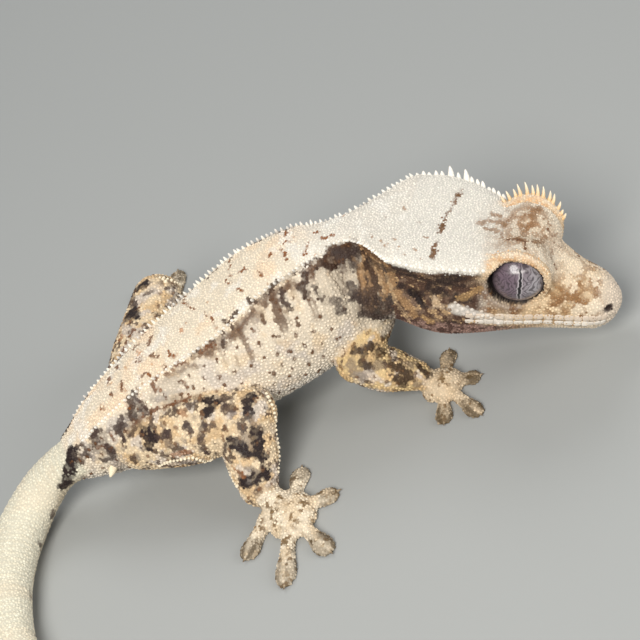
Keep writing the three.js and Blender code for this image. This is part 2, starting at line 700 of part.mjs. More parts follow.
export default gecko;
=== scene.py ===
# A crested gecko as a life-size museum model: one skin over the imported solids, granular scales, crests of
# spines, fringed brows, wet eyes and claws. Shapes are worked out in millimetres in the animal's own frame,
# with +X along the trunk, +Y to its left, +Z up and the origin on the floor below the hips, and are then
# moved to the row frame.

import math

import bpy
import numpy as np
from mathutils import Matrix, Vector
from mathutils.bvhtree import BVHTree
from mathutils.kdtree import KDTree


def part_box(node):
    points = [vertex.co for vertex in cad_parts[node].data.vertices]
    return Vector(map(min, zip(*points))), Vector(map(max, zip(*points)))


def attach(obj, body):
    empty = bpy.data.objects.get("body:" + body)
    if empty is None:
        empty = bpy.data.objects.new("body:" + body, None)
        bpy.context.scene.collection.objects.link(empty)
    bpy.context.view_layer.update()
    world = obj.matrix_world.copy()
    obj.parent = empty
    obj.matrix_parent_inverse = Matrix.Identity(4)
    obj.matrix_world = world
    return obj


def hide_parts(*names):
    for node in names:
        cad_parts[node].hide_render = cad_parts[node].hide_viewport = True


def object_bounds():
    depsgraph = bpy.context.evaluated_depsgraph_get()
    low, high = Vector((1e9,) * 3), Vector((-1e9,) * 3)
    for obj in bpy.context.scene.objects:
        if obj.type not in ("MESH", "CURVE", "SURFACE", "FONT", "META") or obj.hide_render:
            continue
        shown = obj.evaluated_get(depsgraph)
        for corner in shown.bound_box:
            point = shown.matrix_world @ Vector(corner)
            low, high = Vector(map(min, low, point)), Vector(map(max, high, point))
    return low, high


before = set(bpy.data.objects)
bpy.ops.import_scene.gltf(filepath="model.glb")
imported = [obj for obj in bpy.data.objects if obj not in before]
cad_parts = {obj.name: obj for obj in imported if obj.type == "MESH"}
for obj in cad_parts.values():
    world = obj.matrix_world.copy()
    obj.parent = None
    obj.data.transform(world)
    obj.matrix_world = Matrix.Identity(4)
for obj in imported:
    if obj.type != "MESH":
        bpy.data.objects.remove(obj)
CAD_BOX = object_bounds()
MM = 0.001
rng = np.random.default_rng(20)

# Sizes and places of the body, the same as the solids have

HEAD_LENGTH = 24.7
HEAD_PLACE = np.array([40.2, -7.2, 20.2])
HEAD_TURN = {"yaw": -33, "pitch": 21.6, "roll": -7.3}
EYE_RADIUS = 3.1
EYE_CENTRE = np.array([13.3, 3.5, -2.6])
RIM = {"radius": 3.45, "upper": 0.62, "lower": 0.36, "sideways": 1.45, "lean": 0.6}
EYE_DOME = 3.78  # radius of the skin that covers the eye towards the crown
TAIL_FLATTENING = 0.86
SNOUT_ROUNDING = 3.1
SNOUT_TIP_HEIGHT = -7.4
MOUTH_CORNER = 7.5
NOSTRIL = np.array([23.4, 2.7, -6.8])
EAR = np.array([2.6, 7.0, -5.6])
VENT = -6.5
CHEST = 29
NECK_PULL = 7

# Twelve lines run along the head, neck and trunk. Seven are listed, from the back down to the belly.
HEAD_LINES = {
    "top": [[0, 0, 0.6], [6, 0, 0.5], [10, 0, 0.1], [13, 0, 0.2], [16.3, 0, -1.15], [20, 0, -3.1],
            [24.7, 0, -5.2]],
    "crest": [[0, 8.5, 0], [3.4, 9, 0], [7, 8.2, -0.2], [10.2, 6.8, -0.7], [13, 5.2, 0.2], [16.3, 3.4, -2.0],
              [20, 2.4, -4.1], [24.7, 1.9, -5.9]],
    "temple": [[0, 6.8, -3.2], [3.4, 6.9, -3.6], [8, 6.5, -3.7], [13, 5.2, -3.2], [17, 4.1, -4.6],
               [24.7, 2.9, -6.6]],
    "upper_lip": [[0, 6.8, -6], [4, 7, -6.5], [8, 6.6, -7.2], [13, 5.6, -7.4], [18, 4.4, -7.5],
                  [24.7, 3.2, -7.5]],
    "lower_lip": [[0, 6.4, -8.4], [4, 6.6, -8.9], [8, 6.2, -8.9], [13, 5.2, -8.9], [18, 4, -8.9],
                  [24.7, 2.9, -8.7]],
    "jaw": [[0, 5, -10.6], [5, 5.2, -11.6], [9, 4.5, -11.4], [15, 3.3, -10.4], [24.7, 2.0, -9.9]],
    "chin": [[0, 0, -11.6], [5, 0, -12.6], [9, 0, -12.3], [15, 0, -10.9], [24.7, 0, -10.2]],
}

# Place along the trunk, sideways shift, half width, height of the back, half spacing and height of the two
# crest rows, and height of the belly.
TRUNK = [
    [-6.5, 0.9, 3.0, 10.3, 2.2, 9.8, 4.4],
    [-3, 0.4, 4.3, 12.6, 2.9, 12.0, 3.9],
    [2, 0.1, 5.6, 14.8, 3.6, 14.2, 3.7],
    [8, 0, 6.8, 16.5, 4.4, 15.8, 3.7],
    [15, 0, 7.8, 18.0, 5.2, 17.2, 3.8],
    [21, -0.3, 8.1, 19.8, 4.8, 19.1, 4.2],
    [26, -1.0, 7.7, 20.5, 4.2, 19.8, 4.9],
    [29, -1.6, 7.2, 20.7, 3.6, 20.0, 5.4],
]
NECK_PINCH = {"crest": 0.52, "below": 0.16, "height": 6}

# Limb segments run from joint to joint with radii along them. A foot has a palm, a heel and toes given by
# their tips, and by their roots where those aren't the middle of the palm.
LIMBS = {
    "fore_right": {
        "upper": {"from": [31.8, -5.4, 9.6], "to": [27.4, -8.6, 6.6], "radii": [3.1, 2.9, 2.4]},
        "lower": {"from": [27.4, -8.6, 6.6], "to": [32.6, -11.0, 2.8], "radii": [2.5, 2.9, 2.0]},
        "foot": {"palm": [34.9, -12.4], "size": [2.7, 2.5], "height": 1.8, "heel": [33.0, -11.3, 2.2],
                 "scale": 0.85,
                 "toes": [[33.2, -8.2], [37.7, -7.0], [39.2, -13.7], [36.8, -19.7], [32.7, -18.0]]},
    },
    "fore_left": {
        "upper": {"from": [32.4, 3.0, 9.4], "to": [34.4, 11.0, 7.2], "radii": [3.1, 2.8, 2.3]},
        "lower": {"from": [34.4, 11.0, 7.2], "to": [41.0, 12.6, 2.7], "radii": [2.4, 2.6, 1.9]},
        "foot": {"palm": [43.6, 13.2], "size": [2.7, 2.5], "height": 1.8, "heel": [41.6, 12.7, 2.2],
                 "scale": 0.85,
                 "toes": [[43.4, 8.2], [47.8, 8.8], [49.6, 13.2], [47.6, 17.8], [42.4, 18.6]]},
    },
    "hind_right": {
        "upper": {"from": [2.0, -2.6, 7.8], "to": [13.6, -9.6, 8.6], "radii": [4.5, 4.8, 3.5], "flat": 0.92},
        "lower": {"from": [12.8, -10.0, 8.0], "to": [10.8, -14.8, 2.7], "radii": [3.5, 3.2, 2.3],
                  "across": [0, 1, 0]},
        "foot": {"palm": [12.6, -19.3], "size": [3.1, 3.9], "height": 1.9, "heel": [11.0, -15.8, 2.2],
                 "scale": 1,
                 "toes": [[16.0, -12.8], [18.5, -19.4], [14.8, -27.6], [8.6, -28.8],
                          [5.8, -21.8, 10.6, -17.4]]},
    },
    "hind_left": {
        "upper": {"from": [2.0, 2.6, 8.0], "to": [9.8, 15.6, 11.2], "radii": [4.5, 4.3, 3.3], "flat": 0.92},
        "lower": {"from": [9.8, 15.6, 11.2], "to": [9.4, 22.4, 2.7], "radii": [3.2, 3.0, 2.3],
                  "across": [1, 0, 0]},
        "foot": {"palm": [9.8, 26.6], "size": [3.1, 3.9], "height": 1.9, "heel": [9.6, 23.2, 2.2],
                 "scale": 1,
                 "toes": [[15.2, 21.8], [17.2, 27.8], [12.6, 35.2], [6.2, 35.8], [3.0, 28.0, 8.2, 25.2]]},
    },
}
TOE_WIDTHS = [[0, 1.05], [0.5, 0.82], [0.78, 1.3], [0.93, 1.1], [1, 0.55]]
TOE_HEIGHTS = [[0, 1.9], [0.5, 1.35], [0.78, 1.05], [0.93, 0.8], [1, 0.5]]

# The tail's route on the floor: place of its middle and half width, from the vent to the tip.
TAIL = [
    [-5.5, 0.7, 7.4, 3.1],
    [-9.5, 1.9, 6.1, 2.8],
    [-13, 2.0, 4.4, 3.0],
    [-16.6, -0.2, 3.0, 3.2],
    [-19.6, -5, 2.65, 3.2],
    [-21.4, -11, 2.55, 3.05],
    [-22, -19, 2.35, 2.8],
    [-20.2, -26.4, 2.0, 2.4],
    [-16, -32.6, 1.65, 2.0],
    [-9.8, -36.8, 1.25, 1.55],
    [-2.8, -38.8, 0.95, 1.2],
    [4.2, -39.2, 0.8, 1.35],
]

# Rings of each kind of part, or the step between them, and the points round each ring
TRUNK_STEP, NECK_RINGS, HEAD_STEP = 0.7, 20, 0.5
TAIL_STEP, TAIL_SIDES = 0.14, 40  # the step is a share of the way between two places of TAIL
LIMB_RINGS, LIMB_SIDES = 14, 32
TOE_RINGS, TOE_SIDES = 16, 20
PALM_RINGS, PALM_SIDES = 9, 28
DOME_RINGS, DOME_SIDES = 16, 48
RIM_RINGS, RIM_SIDES = 56, 12
LIMB_FLATTENING = 0.85
HEEL_RADIUS = 1.6
TOE_SOLE = 0.25  # how much of a toe's round section is cut off below

VOXEL = 0.19  # spacing of the skin's points
RING_STEPS = 6  # ring points between two of the twelve lines
SKIN_SINK = 0.05  # how far the skin lies inside the solids, for the height of the scales

# Small geometry helpers


def unit(v):
    v = np.asarray(v, float)
    return v / np.maximum(np.linalg.norm(v, axis=-1, keepdims=True), 1e-12)


def smooth(x, low, high):
    """0 below low and 1 above high, with a smooth step between."""
    t = np.clip((x - low) / (high - low), 0, 1)
    return t * t * (3 - 2 * t)


def bell(x, middle, width):
    return np.exp(-(((x - middle) / width) ** 2))


def turns(count):
    return np.arange(count) * 2 * math.pi / count


def curve(knots):
    """Smooth values between knots: each knot is a parameter followed by the values there."""
    table = np.array(knots, float)
    place, value = table[:, 0], table[:, 1:]
    index = np.arange(len(place))
    before, after = np.maximum(index - 1, 0), np.minimum(index + 1, len(place) - 1)
    slope = (value[after] - value[before]) / (place[after] - place[before])[:, None]

    def at(s):
        s = np.atleast_1d(np.asarray(s, float))
        i = np.clip(np.searchsorted(place, s, side="right") - 1, 0, len(place) - 2)
        span = (place[i + 1] - place[i])[:, None]
        t = (s - place[i])[:, None] / span
        start = value[i] * (2 * t**3 - 3 * t**2 + 1) + slope[i] * span * (t**3 - 2 * t**2 + t)
        return start + value[i + 1] * (3 * t**2 - 2 * t**3) + slope[i + 1] * span * (t**3 - t**2)

    return at


def closed_curve(corners, steps):
    """A centripetal Catmull-Rom curve through the corners and back to the first."""
    p = [np.roll(corners, shift, axis=0) for shift in (1, 0, -1, -2)]
    gap = [np.maximum(np.linalg.norm(p[k + 1] - p[k], axis=1) ** 0.5, 1e-4)[:, None] for k in range(3)]
    lean = (p[1] - p[0]) / gap[0] - (p[2] - p[0]) / (gap[0] + gap[1]) + (p[2] - p[1]) / gap[1]
    onward = (p[2] - p[1]) / gap[1] - (p[3] - p[1]) / (gap[1] + gap[2]) + (p[3] - p[2]) / gap[2]
    lean, onward = lean * gap[1], onward * gap[1]
    rows = []
    for k in range(steps):
        t = k / steps
        square = -3 * p[1] + 3 * p[2] - 2 * lean - onward
        cube = 2 * p[1] - 2 * p[2] + lean + onward
        rows.append(p[1] + lean * t + square * t**2 + cube * t**3)
    return np.stack(rows, axis=1).reshape(-1, corners.shape[1])


def ring_through(half, steps=RING_STEPS):
    """A smooth ring through seven [sideways, up] pairs, from back to belly, and their mirror images."""
    half = np.asarray(half, float)
    mirrored = half[1:-1][::-1] * [-1, 1]
    return closed_curve(np.vstack([half, mirrored]), steps)


SEED_STEP = 7.31  # how far apart in the noise two seeds are
LATTICE_PRIMES = np.array([73856093, 19349663, 83492791])
HASH_START, HASH_FIRST, HASH_SECOND, HASH_MASK = 1013904223, 1274126177, 2246822519, 0xFFFFFFFF
OCTAVE_FADE = 0.55  # strength of each finer layer of noise against the one before


def noise(points, size, seed):
    """Smooth noise from 0 to 1, with features about size across."""
    p = np.asarray(points, float) / size + seed * SEED_STEP
    base = np.floor(p).astype(np.int64)
    t = p - base
    t = t * t * (3 - 2 * t)
    total = np.zeros(len(p))
    for corner in range(2 ** p.shape[1]):
        step = np.array([(corner >> k) & 1 for k in range(p.shape[1])])
        lattice = (base + step) * LATTICE_PRIMES[: p.shape[1]]
        h = np.bitwise_xor.reduce(lattice, axis=1) + seed * HASH_START
        h = (h ^ (h >> 13)) * HASH_FIRST & HASH_MASK
        h = (h ^ (h >> 16)) * HASH_SECOND & HASH_MASK
        total += np.where(step == 1, t, 1 - t).prod(1) * h / HASH_MASK
    return total


def fractal(points, size, seed, octaves=3):
    layers = [noise(points, size / 2**k, seed + k) * OCTAVE_FADE**k for k in range(octaves)]
    return sum(layers) / sum(OCTAVE_FADE**k for k in range(octaves))


def spots(points, size, seed, low, high):
    """Spots of noise with soft edges: 0 where the noise is below low and 1 where it is above high."""
    return smooth(fractal(points, size, seed), low, high)


def waves(places, gap):
    return np.sin(places * 2 * math.pi / gap)


def run_along(line):
    """How far along a line of points each of them is."""
    return np.concatenate([[0], np.cumsum(np.linalg.norm(np.diff(line, axis=0), axis=1))])


def places_at(line, distances):
    run = run_along(line)
    return np.column_stack([np.interp(distances, run, column) for column in line.T])


def kd_tree(points):
    tree = KDTree(len(points))
    for i, place in enumerate(points.tolist()):
        tree.insert(place, i)
    tree.balance()
    return tree


def joined(rows):
    """Rows of arrays as one joined array for each column."""
    return [np.concatenate(column) for column in zip(*rows)]


# The head's frame


def turn_matrix():
    yaw, pitch, roll = (math.radians(HEAD_TURN[k]) for k in ("yaw", "pitch", "roll"))
    turn = Matrix.Rotation(yaw, 3, "Z") @ Matrix.Rotation(pitch, 3, "Y") @ Matrix.Rotation(roll, 3, "X")
    return np.array(turn)


HEAD_MATRIX = turn_matrix()


def on_head(points):
    """Points of the head's frame, as an array of rows, in the animal's frame."""
    return np.asarray(points, float) @ HEAD_MATRIX.T + HEAD_PLACE


def in_head(points):
    return (np.asarray(points, float) - HEAD_PLACE) @ HEAD_MATRIX


def head_direction(direction):
    """A direction of the head's frame in the animal's frame."""
    return unit(np.asarray(direction, float) @ HEAD_MATRIX.T)


# Rings of the trunk, neck and head

TRUNK_AT = curve(TRUNK)
HEAD_AT = {name: curve(knots) for name, knots in HEAD_LINES.items()}


def trunk_ring(x):
    shift, half, back, row_half, row_height, belly = TRUNK_AT(x)[0]
    middle = (row_height + belly) / 2
    rise, drop = row_height - middle, middle - belly
    ring = ring_through([
        [0, back],
        [row_half, row_height],
        [half * 0.93, middle + rise * 0.5],
        [half, middle - drop * 0.05],
        [half * 0.92, middle - drop * 0.5],
        [half * 0.66, belly + drop * 0.14],
        [0, belly],
    ])
    return np.column_stack([np.full(len(ring), float(x)), shift + ring[:, 0], ring[:, 1]])


def head_ring(x):
    past = max(0.0, x - (HEAD_LENGTH - SNOUT_ROUNDING)) / SNOUT_ROUNDING
    closing = math.sqrt(max(0.0, 1 - past * past))
    half = np.array([at(x)[0] for at in HEAD_AT.values()])
    half[:, 0] *= closing
    half[:, 1] = SNOUT_TIP_HEIGHT + (half[:, 1] - SNOUT_TIP_HEIGHT) * closing
    ring = ring_through(half)
    return on_head(np.column_stack([np.full(len(ring), float(x)), ring]))


CHEST_RING = trunk_ring(CHEST)
NAPE_RING = head_ring(0)
CHEST_FORWARD = unit([0.95, -0.3, 0.1])
HEAD_FORWARD = head_direction([1, 0, 0])
NECK_LENGTH = float(np.linalg.norm(CHEST_RING.mean(0) - NAPE_RING.mean(0)))
HEAD_START = CHEST + NECK_LENGTH  # place along the body where the head's own x begins
LEFT_CREST, RIGHT_CREST = RING_STEPS, 11 * RING_STEPS


def neck_ring(t):
    """The crest rows draw in over the neck before they flare out to the corners of the head."""
    path = (CHEST_RING * (2 * t**3 - 3 * t**2 + 1) + CHEST_FORWARD * NECK_PULL * (t**3 - 2 * t**2 + t)
            + NAPE_RING * (3 * t**2 - 2 * t**3) + HEAD_FORWARD * NECK_PULL * (t**3 - t**2))
    middle = path.mean(0)
    side = unit(path[LEFT_CREST] - path[RIGHT_CREST])
    offset = path - middle
    high = smooth(offset[:, 2], 0, NECK_PINCH["height"])
    pinch = math.sin(math.pi * t**0.75) ** 2 * (NECK_PINCH["below"] * (1 - high) + NECK_PINCH["crest"] * high)
    return path - side * (offset @ side * pinch)[:, None]


class Part:
    """A closed grid of rings that knows its place along and around each point."""

    def __init__(self, name, rings, places, end_tip=None, looped=False):
        self.name, self.looped = name, looped
        self.rings = np.asarray(rings, float)
        self.places = np.asarray(places, float)
        self.tips = [self.rings[0].mean(0), self.rings[-1].mean(0) if end_tip is None else end_tip]

    def mesh(self):
        count, sides = self.rings.shape[:2]
        grid = np.arange(count * sides).reshape(count, sides)
        rows = np.vstack([grid, grid[:1]]) if self.looped else grid
        nxt = np.roll(rows, -1, axis=1)
        quads = np.stack([rows[:-1], nxt[:-1], nxt[1:], rows[1:]], axis=-1).reshape(-1, 4).tolist()
        if self.looped:
            return self.rings.reshape(-1, 3), quads
        first, last = count * sides, count * sides + 1
        caps = [[first, int(nxt[0, i]), int(grid[0, i])] for i in range(sides)]
        caps += [[last, int(grid[-1, i]), int(nxt[-1, i])] for i in range(sides)]
        return np.vstack([self.rings.reshape(-1, 3), self.tips]), quads + caps

    def grid_triangles(self):
        """Points, their [along, around] with around from 0 to 1, and the triangles of the side."""
        count, sides = self.rings.shape[:2]
        points = np.concatenate([self.rings, self.rings[:, :1]], axis=1)
        around = np.broadcast_to(np.arange(sides + 1) / sides, (count, sides + 1))
        along = np.broadcast_to(self.places[:, None], (count, sides + 1))
        where = np.stack([along, around], axis=-1)
        grid = np.arange(count * (sides + 1)).reshape(count, sides + 1)
        a, b, c, d = grid[:-1, :-1], grid[:-1, 1:], grid[1:, 1:], grid[1:, :-1]
        triangles = np.concatenate([np.stack(t, -1).reshape(-1, 3) for t in ((a, b, c), (a, c, d))])
        return points.reshape(-1, 3), where.reshape(-1, 2), triangles

    def at(self, along, around):
        """Points of the surface at places along and around it."""
        count, sides = self.rings.shape[:2]
        row = np.interp(along, self.places, np.arange(count))
        i = np.clip(row.astype(int), 0, count - 2)
        t = (row - i)[:, None]
        turn = (np.asarray(around) % 1) * sides
        j = turn.astype(int) % sides
        k = (j + 1) % sides
        u = (turn - np.floor(turn))[:, None]
        r = self.rings
        return (r[i, j] * (1 - u) + r[i, k] * u) * (1 - t) + (r[i + 1, j] * (1 - u) + r[i + 1, k] * u) * t


def body_part():
    trunk_x = np.arange(VENT - 1.2, CHEST, TRUNK_STEP)
    neck_t = np.linspace(0, 1, NECK_RINGS)[:-1]
    snout = HEAD_LENGTH - SNOUT_ROUNDING * (1 - np.sin(np.radians(np.arange(0, 86, 7))))
    head_x = np.concatenate([np.arange(0, HEAD_LENGTH - SNOUT_ROUNDING, HEAD_STEP), snout])
    rings = [trunk_ring(x) for x in trunk_x] + [neck_ring(t) for t in neck_t] + [head_ring(x) for x in head_x]
    places = np.concatenate([trunk_x, CHEST + neck_t * NECK_LENGTH, HEAD_START + head_x])
    return Part("body", rings, places, end_tip=on_head([HEAD_LENGTH, 0, SNOUT_TIP_HEIGHT]))


TAIL_AT = curve([[i, *row] for i, row in enumerate(TAIL)])
TAIL_LAST = len(TAIL) - 1
TAIL_TIP = 1.3  # length of its rounded end


def tail_part():
    a = turns(TAIL_SIDES)[:, None]

    def ring(u, closing=1.0, push=0.0):
        x, y, z, half = TAIL_AT(u)[0]
        axis = unit(TAIL_AT(min(u + 0.05, TAIL_LAST))[0, :3] - TAIL_AT(max(u - 0.05, 0))[0, :3])
        side = unit(np.cross([0, 0, 1], axis))
        up = np.cross(axis, side)
        centre = np.array([x, y, z]) + axis * push
        return centre + closing * half * (side * np.cos(a) + up * TAIL_FLATTENING * np.sin(a))

    rings = [ring(u) for u in np.arange(0, TAIL_LAST + 0.01, TAIL_STEP)]
    rings += [ring(TAIL_LAST, math.cos(d), TAIL_TIP * math.sin(d)) for d in np.radians([20, 40, 60, 78])]
    return Part("tail", rings, run_along(np.array([r.mean(0) for r in rings])))


def segment_part(name, spec):
    start, end = np.array(spec["from"], float), np.array(spec["to"], float)
    axis = end - start
    length = float(np.linalg.norm(axis))
    axis = axis / length
    wide = unit(np.cross(spec.get("across", [0, 0, 1]), axis))
    thin = np.cross(axis, wide) * spec.get("flat", LIMB_FLATTENING)
    radii = spec["radii"]
    size = curve([[i / (len(radii) - 1), r] for i, r in enumerate(radii)])
    quarter = np.radians([80, 65, 50, 35, 20])  # the rounding of both ends
    places = [(-radii[0] * math.sin(a), math.cos(a)) for a in quarter]
    places += [(s, 1.0) for s in np.linspace(0, length, LIMB_RINGS)]
    places += [(length + radii[-1] * math.sin(a), math.cos(a)) for a in quarter[::-1]]
    a = turns(LIMB_SIDES)[:, None]
    rings = []
    for s, closing in places:
        r = size(min(1, max(0, s / length)))[0, 0] * closing
        rings.append(start + axis * s + r * (wide * np.cos(a) + thin * np.sin(a)))
    return Part(name, rings, [s for s, _ in places])


def toe_part(name, palm, toe, scale):
    tip, root = toe[:2], toe[2:] or palm
    start, end = np.array([*root, 0.0]), np.array([*tip, 0.0])
    axis = unit(end - start)
    side = np.array([-axis[1], axis[0], 0])
    widths, heights = curve(TOE_WIDTHS), curve(TOE_HEIGHTS)
    a = turns(TOE_SIDES)
    across = np.sign(np.cos(a)) * np.abs(np.cos(a)) ** 0.8
    up = (np.maximum(np.sin(a), -TOE_SOLE) + TOE_SOLE) / (1 + TOE_SOLE)
    rings, places = [], []
    for t in np.concatenate([np.linspace(0.1, 0.96, TOE_RINGS), [1.0]]):
        w, h = widths(t)[0, 0] * scale, heights(t)[0, 0] * scale
        rings.append(start + (end - start) * t + np.outer(across * w, side) + np.outer(up * h, [0, 0, 1]))
        places.append(t)
    return Part(name, rings, places)


def palm_part(name, centre, size, height):
    a = turns(PALM_SIDES)
    rings, places = [], []
    for t in np.linspace(0.02, 0.97, PALM_RINGS):
        r = math.cos(t * math.pi / 2)
        lift = np.full(len(a), height * math.sin(t * math.pi / 2))
        x, y = centre[0] + size[0] * r * np.cos(a), centre[1] + size[1] * r * np.sin(a)
        rings.append(np.column_stack([x, y, lift]))
        places.append(t)
    return Part(name, rings, places)


def foot_parts(name, foot):
    palm, scale = foot["palm"], foot["scale"]
    radius = HEEL_RADIUS * scale
    link = {"from": foot["heel"], "to": [*palm, foot["height"] * 0.6], "radii": [radius, radius]}
    parts = [palm_part(f"{name}_palm", palm, foot["size"], foot["height"] * 1.35)]
    parts.append(segment_part(f"{name}_heel", link))
    return parts + [toe_part(f"{name}_toe_{i}", palm, toe, scale) for i, toe in enumerate(foot["toes"])]


# Each eye lies in a dome of skin that ends in a rim. Places round the rim are given in the head's frame.


def rim_place(side, angle, radius, outward=0.0):
    y = EYE_CENTRE[1] + RIM["sideways"] + RIM["lean"] * np.sin(angle) + outward
    x = EYE_CENTRE[0] + radius * np.cos(angle)
    return np.column_stack([x, side * y, EYE_CENTRE[2] + radius * np.sin(angle)])


RIM_UP = unit([0, RIM["lean"], RIM["radius"]])
RIM_OUT = np.array([0, RIM_UP[2], -RIM_UP[1]])
RIM_DEPTH = RIM["sideways"] * RIM_OUT[1]  # from the middle of the eye to the plane of its rim


def eye_parts(side):
    word = "left" if side > 0 else "right"
    flip = np.array([1, side, 1])
    a = turns(DOME_SIDES)[:, None]
    end = math.pi - math.acos(RIM_DEPTH / EYE_DOME)
    rings = []
    for t in np.linspace(0.1, end, DOME_RINGS):
        reach = EYE_DOME * math.sin(t) * (np.array([1, 0, 0]) * np.cos(a) + RIM_UP * np.sin(a))
        rings.append(on_head((EYE_CENTRE + reach - RIM_OUT * EYE_DOME * math.cos(t)) * flip))
    dome = Part(f"dome_{word}", rings, np.linspace(0, 1, DOME_RINGS))
    b = turns(RIM_SIDES)
    rings = []
    for angle in turns(RIM_RINGS):
        thick = RIM["lower"] + (RIM["upper"] - RIM["lower"]) * max(0, math.sin(angle))
        radius = RIM["radius"] + thick * np.cos(b)
        rings.append(on_head(rim_place(side, np.full(RIM_SIDES, angle), radius, thick * 0.9 * np.sin(b))))
    return [dome, Part(f"rim_{word}", rings, np.linspace(0, 1, RIM_RINGS), looped=True)]


def all_parts():
    parts = [body_part(), tail_part(), *eye_parts(1), *eye_parts(-1)]
    for name, limb in LIMBS.items():
        parts.append(segment_part(f"{name}_upper", limb["upper"]))
        parts.append(segment_part(f"{name}_lower", limb["lower"]))
        parts += foot_parts(f"{name}_foot", limb["foot"])
    return parts


PARTS = all_parts()
NAMES = [part.name for part in PARTS]
BY_NAME = {part.name: part for part in PARTS}
BODY = BY_NAME["body"]

# From the animal's frame in millimetres to the row frame in metres


def row_shift():
    low, high = (np.array(corner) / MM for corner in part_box("eye_right"))
    return (low + high) / 2 - on_head(EYE_CENTRE * [1, -1, 1])


SHIFT = row_shift()


def to_row(points):
    return (np.asarray(points, float) + SHIFT) * MM


# The skin: all parts grown together


def mesh_arrays(mesh):
    points = np.empty(len(mesh.vertices) * 3)
    mesh.vertices.foreach_get("co", points)
    corners = np.empty(len(mesh.loops), int)
    mesh.loops.foreach_get("vertex_index", corners)
    return points.reshape(-1, 3), corners


def remeshed(parts, voxel):
    """The parts as one closed surface of even quads, as points and faces in millimetres."""
    points, faces, base = [], [], 0
    for part in parts:
        p, f = part.mesh()
        points.append(p)
        faces += [[i + base for i in face] for face in f]
        base += len(p)
    mesh = bpy.data.meshes.new("parts")
    mesh.from_pydata(np.vstack(points).tolist(), [], faces)
    body = bpy.data.objects.new("parts", mesh)
    bpy.context.scene.collection.objects.link(body)
    remesh = body.modifiers.new("remesh", "REMESH")
    remesh.mode = "VOXEL"
    remesh.voxel_size = voxel
    bpy.context.view_layer.update()
    made = bpy.data.meshes.new_from_object(body.evaluated_get(bpy.context.evaluated_depsgraph_get()))
    found, corners = mesh_arrays(made)
    bpy.data.objects.remove(body)
    for used in (mesh, made):
        bpy.data.meshes.remove(used)
    return found, corners.reshape(-1, 4)


class Surface:
    """A mesh of quads with its edges, smoothing and normals in arrays."""

    def __init__(self, points, quads):
        self.points, self.quads = points, quads
        edges = np.sort(np.concatenate([quads[:, [i, (i + 1) % 4]] for i in range(4)]), axis=1)
        self.edges = np.unique(edges, axis=0)
        self.degree = np.bincount(self.edges.ravel(), minlength=len(points)).astype(float)

    def mean_of_neighbours(self, values):
        a, b = self.edges.T
        columns = []
        for column in values.reshape(len(values), -1).T:
            total = np.bincount(a, column[b], len(values)) + np.bincount(b, column[a], len(values))
            columns.append(total / self.degree)
        return np.stack(columns, axis=1).reshape(values.shape)

    def relax(self, values, weight, times):
        weight = np.broadcast_to(np.asarray(weight, float), len(values))
        weight = weight[:, None] if values.ndim == 2 else weight
        for _ in range(times):
            values = values + (self.mean_of_neighbours(values) - values) * weight
        return values

    def normals(self):
        p = self.points[self.quads]
        flat = np.cross(p[:, 2] - p[:, 0], p[:, 3] - p[:, 1])
        total = np.zeros_like(self.points)
        for k in range(4):
            for axis in range(3):
                total[:, axis] += np.bincount(self.quads[:, k], flat[:, axis], len(total))
        return unit(total)


class Guide:
    """Finds the nearest part of any point, and its place along and around that part."""

    def __init__(self, parts):
        points, triangles, where, owner, base = [], [], [], [], 0
        for index, part in enumerate(parts):
            p, w, t = part.grid_triangles()
            points.append(p)
            where.append(w)
            triangles.append(t + base)
            owner.append(np.full(len(t), index))
            base += len(p)
        self.points, self.where = np.vstack(points), np.vstack(where)
        self.triangles, self.owner = np.vstack(triangles), np.concatenate(owner)
        self.tree = BVHTree.FromPolygons(self.points.tolist(), self.triangles.tolist())

    def find(self, queries):
        hits = [self.tree.find_nearest(q) for q in np.asarray(queries).tolist()]
        index = np.array([hit[2] for hit in hits])
        place = np.array([hit[0][:] for hit in hits])
        a, b, c = (self.points[self.triangles[index, k]] for k in range(3))
        ab, ac, ap = b - a, c - a, place - a
        d00, d01, d11 = (ab * ab).sum(1), (ab * ac).sum(1), (ac * ac).sum(1)
        d20, d21 = (ap * ab).sum(1), (ap * ac).sum(1)
        area = np.maximum(d00 * d11 - d01 * d01, 1e-12)
        v = (d11 * d20 - d01 * d21) / area
        w = (d00 * d21 - d01 * d20) / area
        share = np.stack([1 - v - w, v, w], axis=1)
        where = (self.where[self.triangles[index]] * share[:, :, None]).sum(1)
        return self.owner[index], where[:, 0], where[:, 1]


JOINT_STEPS = 10  # points over which a fillet fades out
FIRST_SMOOTHING, LID_SMOOTHING = (0.5, 2), (0.6, 8)  # weight, and how many times
FILLETS = {"head": 0.15, "rest": 0.6, "times": 14}


def near_joints(skin, owner):
    """1 where two parts meet, fading to 0 some points away."""
    a, b = skin.edges.T
    crossing = owner[a] != owner[b]
    near = np.zeros(len(skin.points))
    near[a[crossing]] = near[b[crossing]] = 1
    for _ in range(JOINT_STEPS):
        near = np.maximum(near, skin.mean_of_neighbours(near) * 1.02)
    return smooth(near, 0.1, 0.8)


skin = Surface(*remeshed(PARTS, VOXEL))
guide = Guide(PARTS)
owner, along, around = guide.find(skin.points)
owner_names = np.array(NAMES)[owner]
fold = np.minimum(around, 1 - around) * 12  # on the body: 0 on the back, 1 on a crest row, 6 on the belly
on_body = (owner_names == "body") | np.char.startswith(owner_names, "dome")
on_body |= np.char.startswith(owner_names, "rim")
in_head_frame = in_head(skin.points)
is_head = on_body & ((in_head_frame[:, 0] > 0) | (owner_names != "body"))
is_trunk = (owner_names == "body") & ~is_head
joint = near_joints(skin, owner)


def region(*words):
    """Points whose part's name holds every one of the words."""
    found = np.ones(len(owner), bool)
    for word in words:
        found &= np.char.find(owner_names, word) >= 0
    return found


toes = region("foot") & (region("toe") | region("palm") | region("heel"))
limb = region("upper") | region("lower")

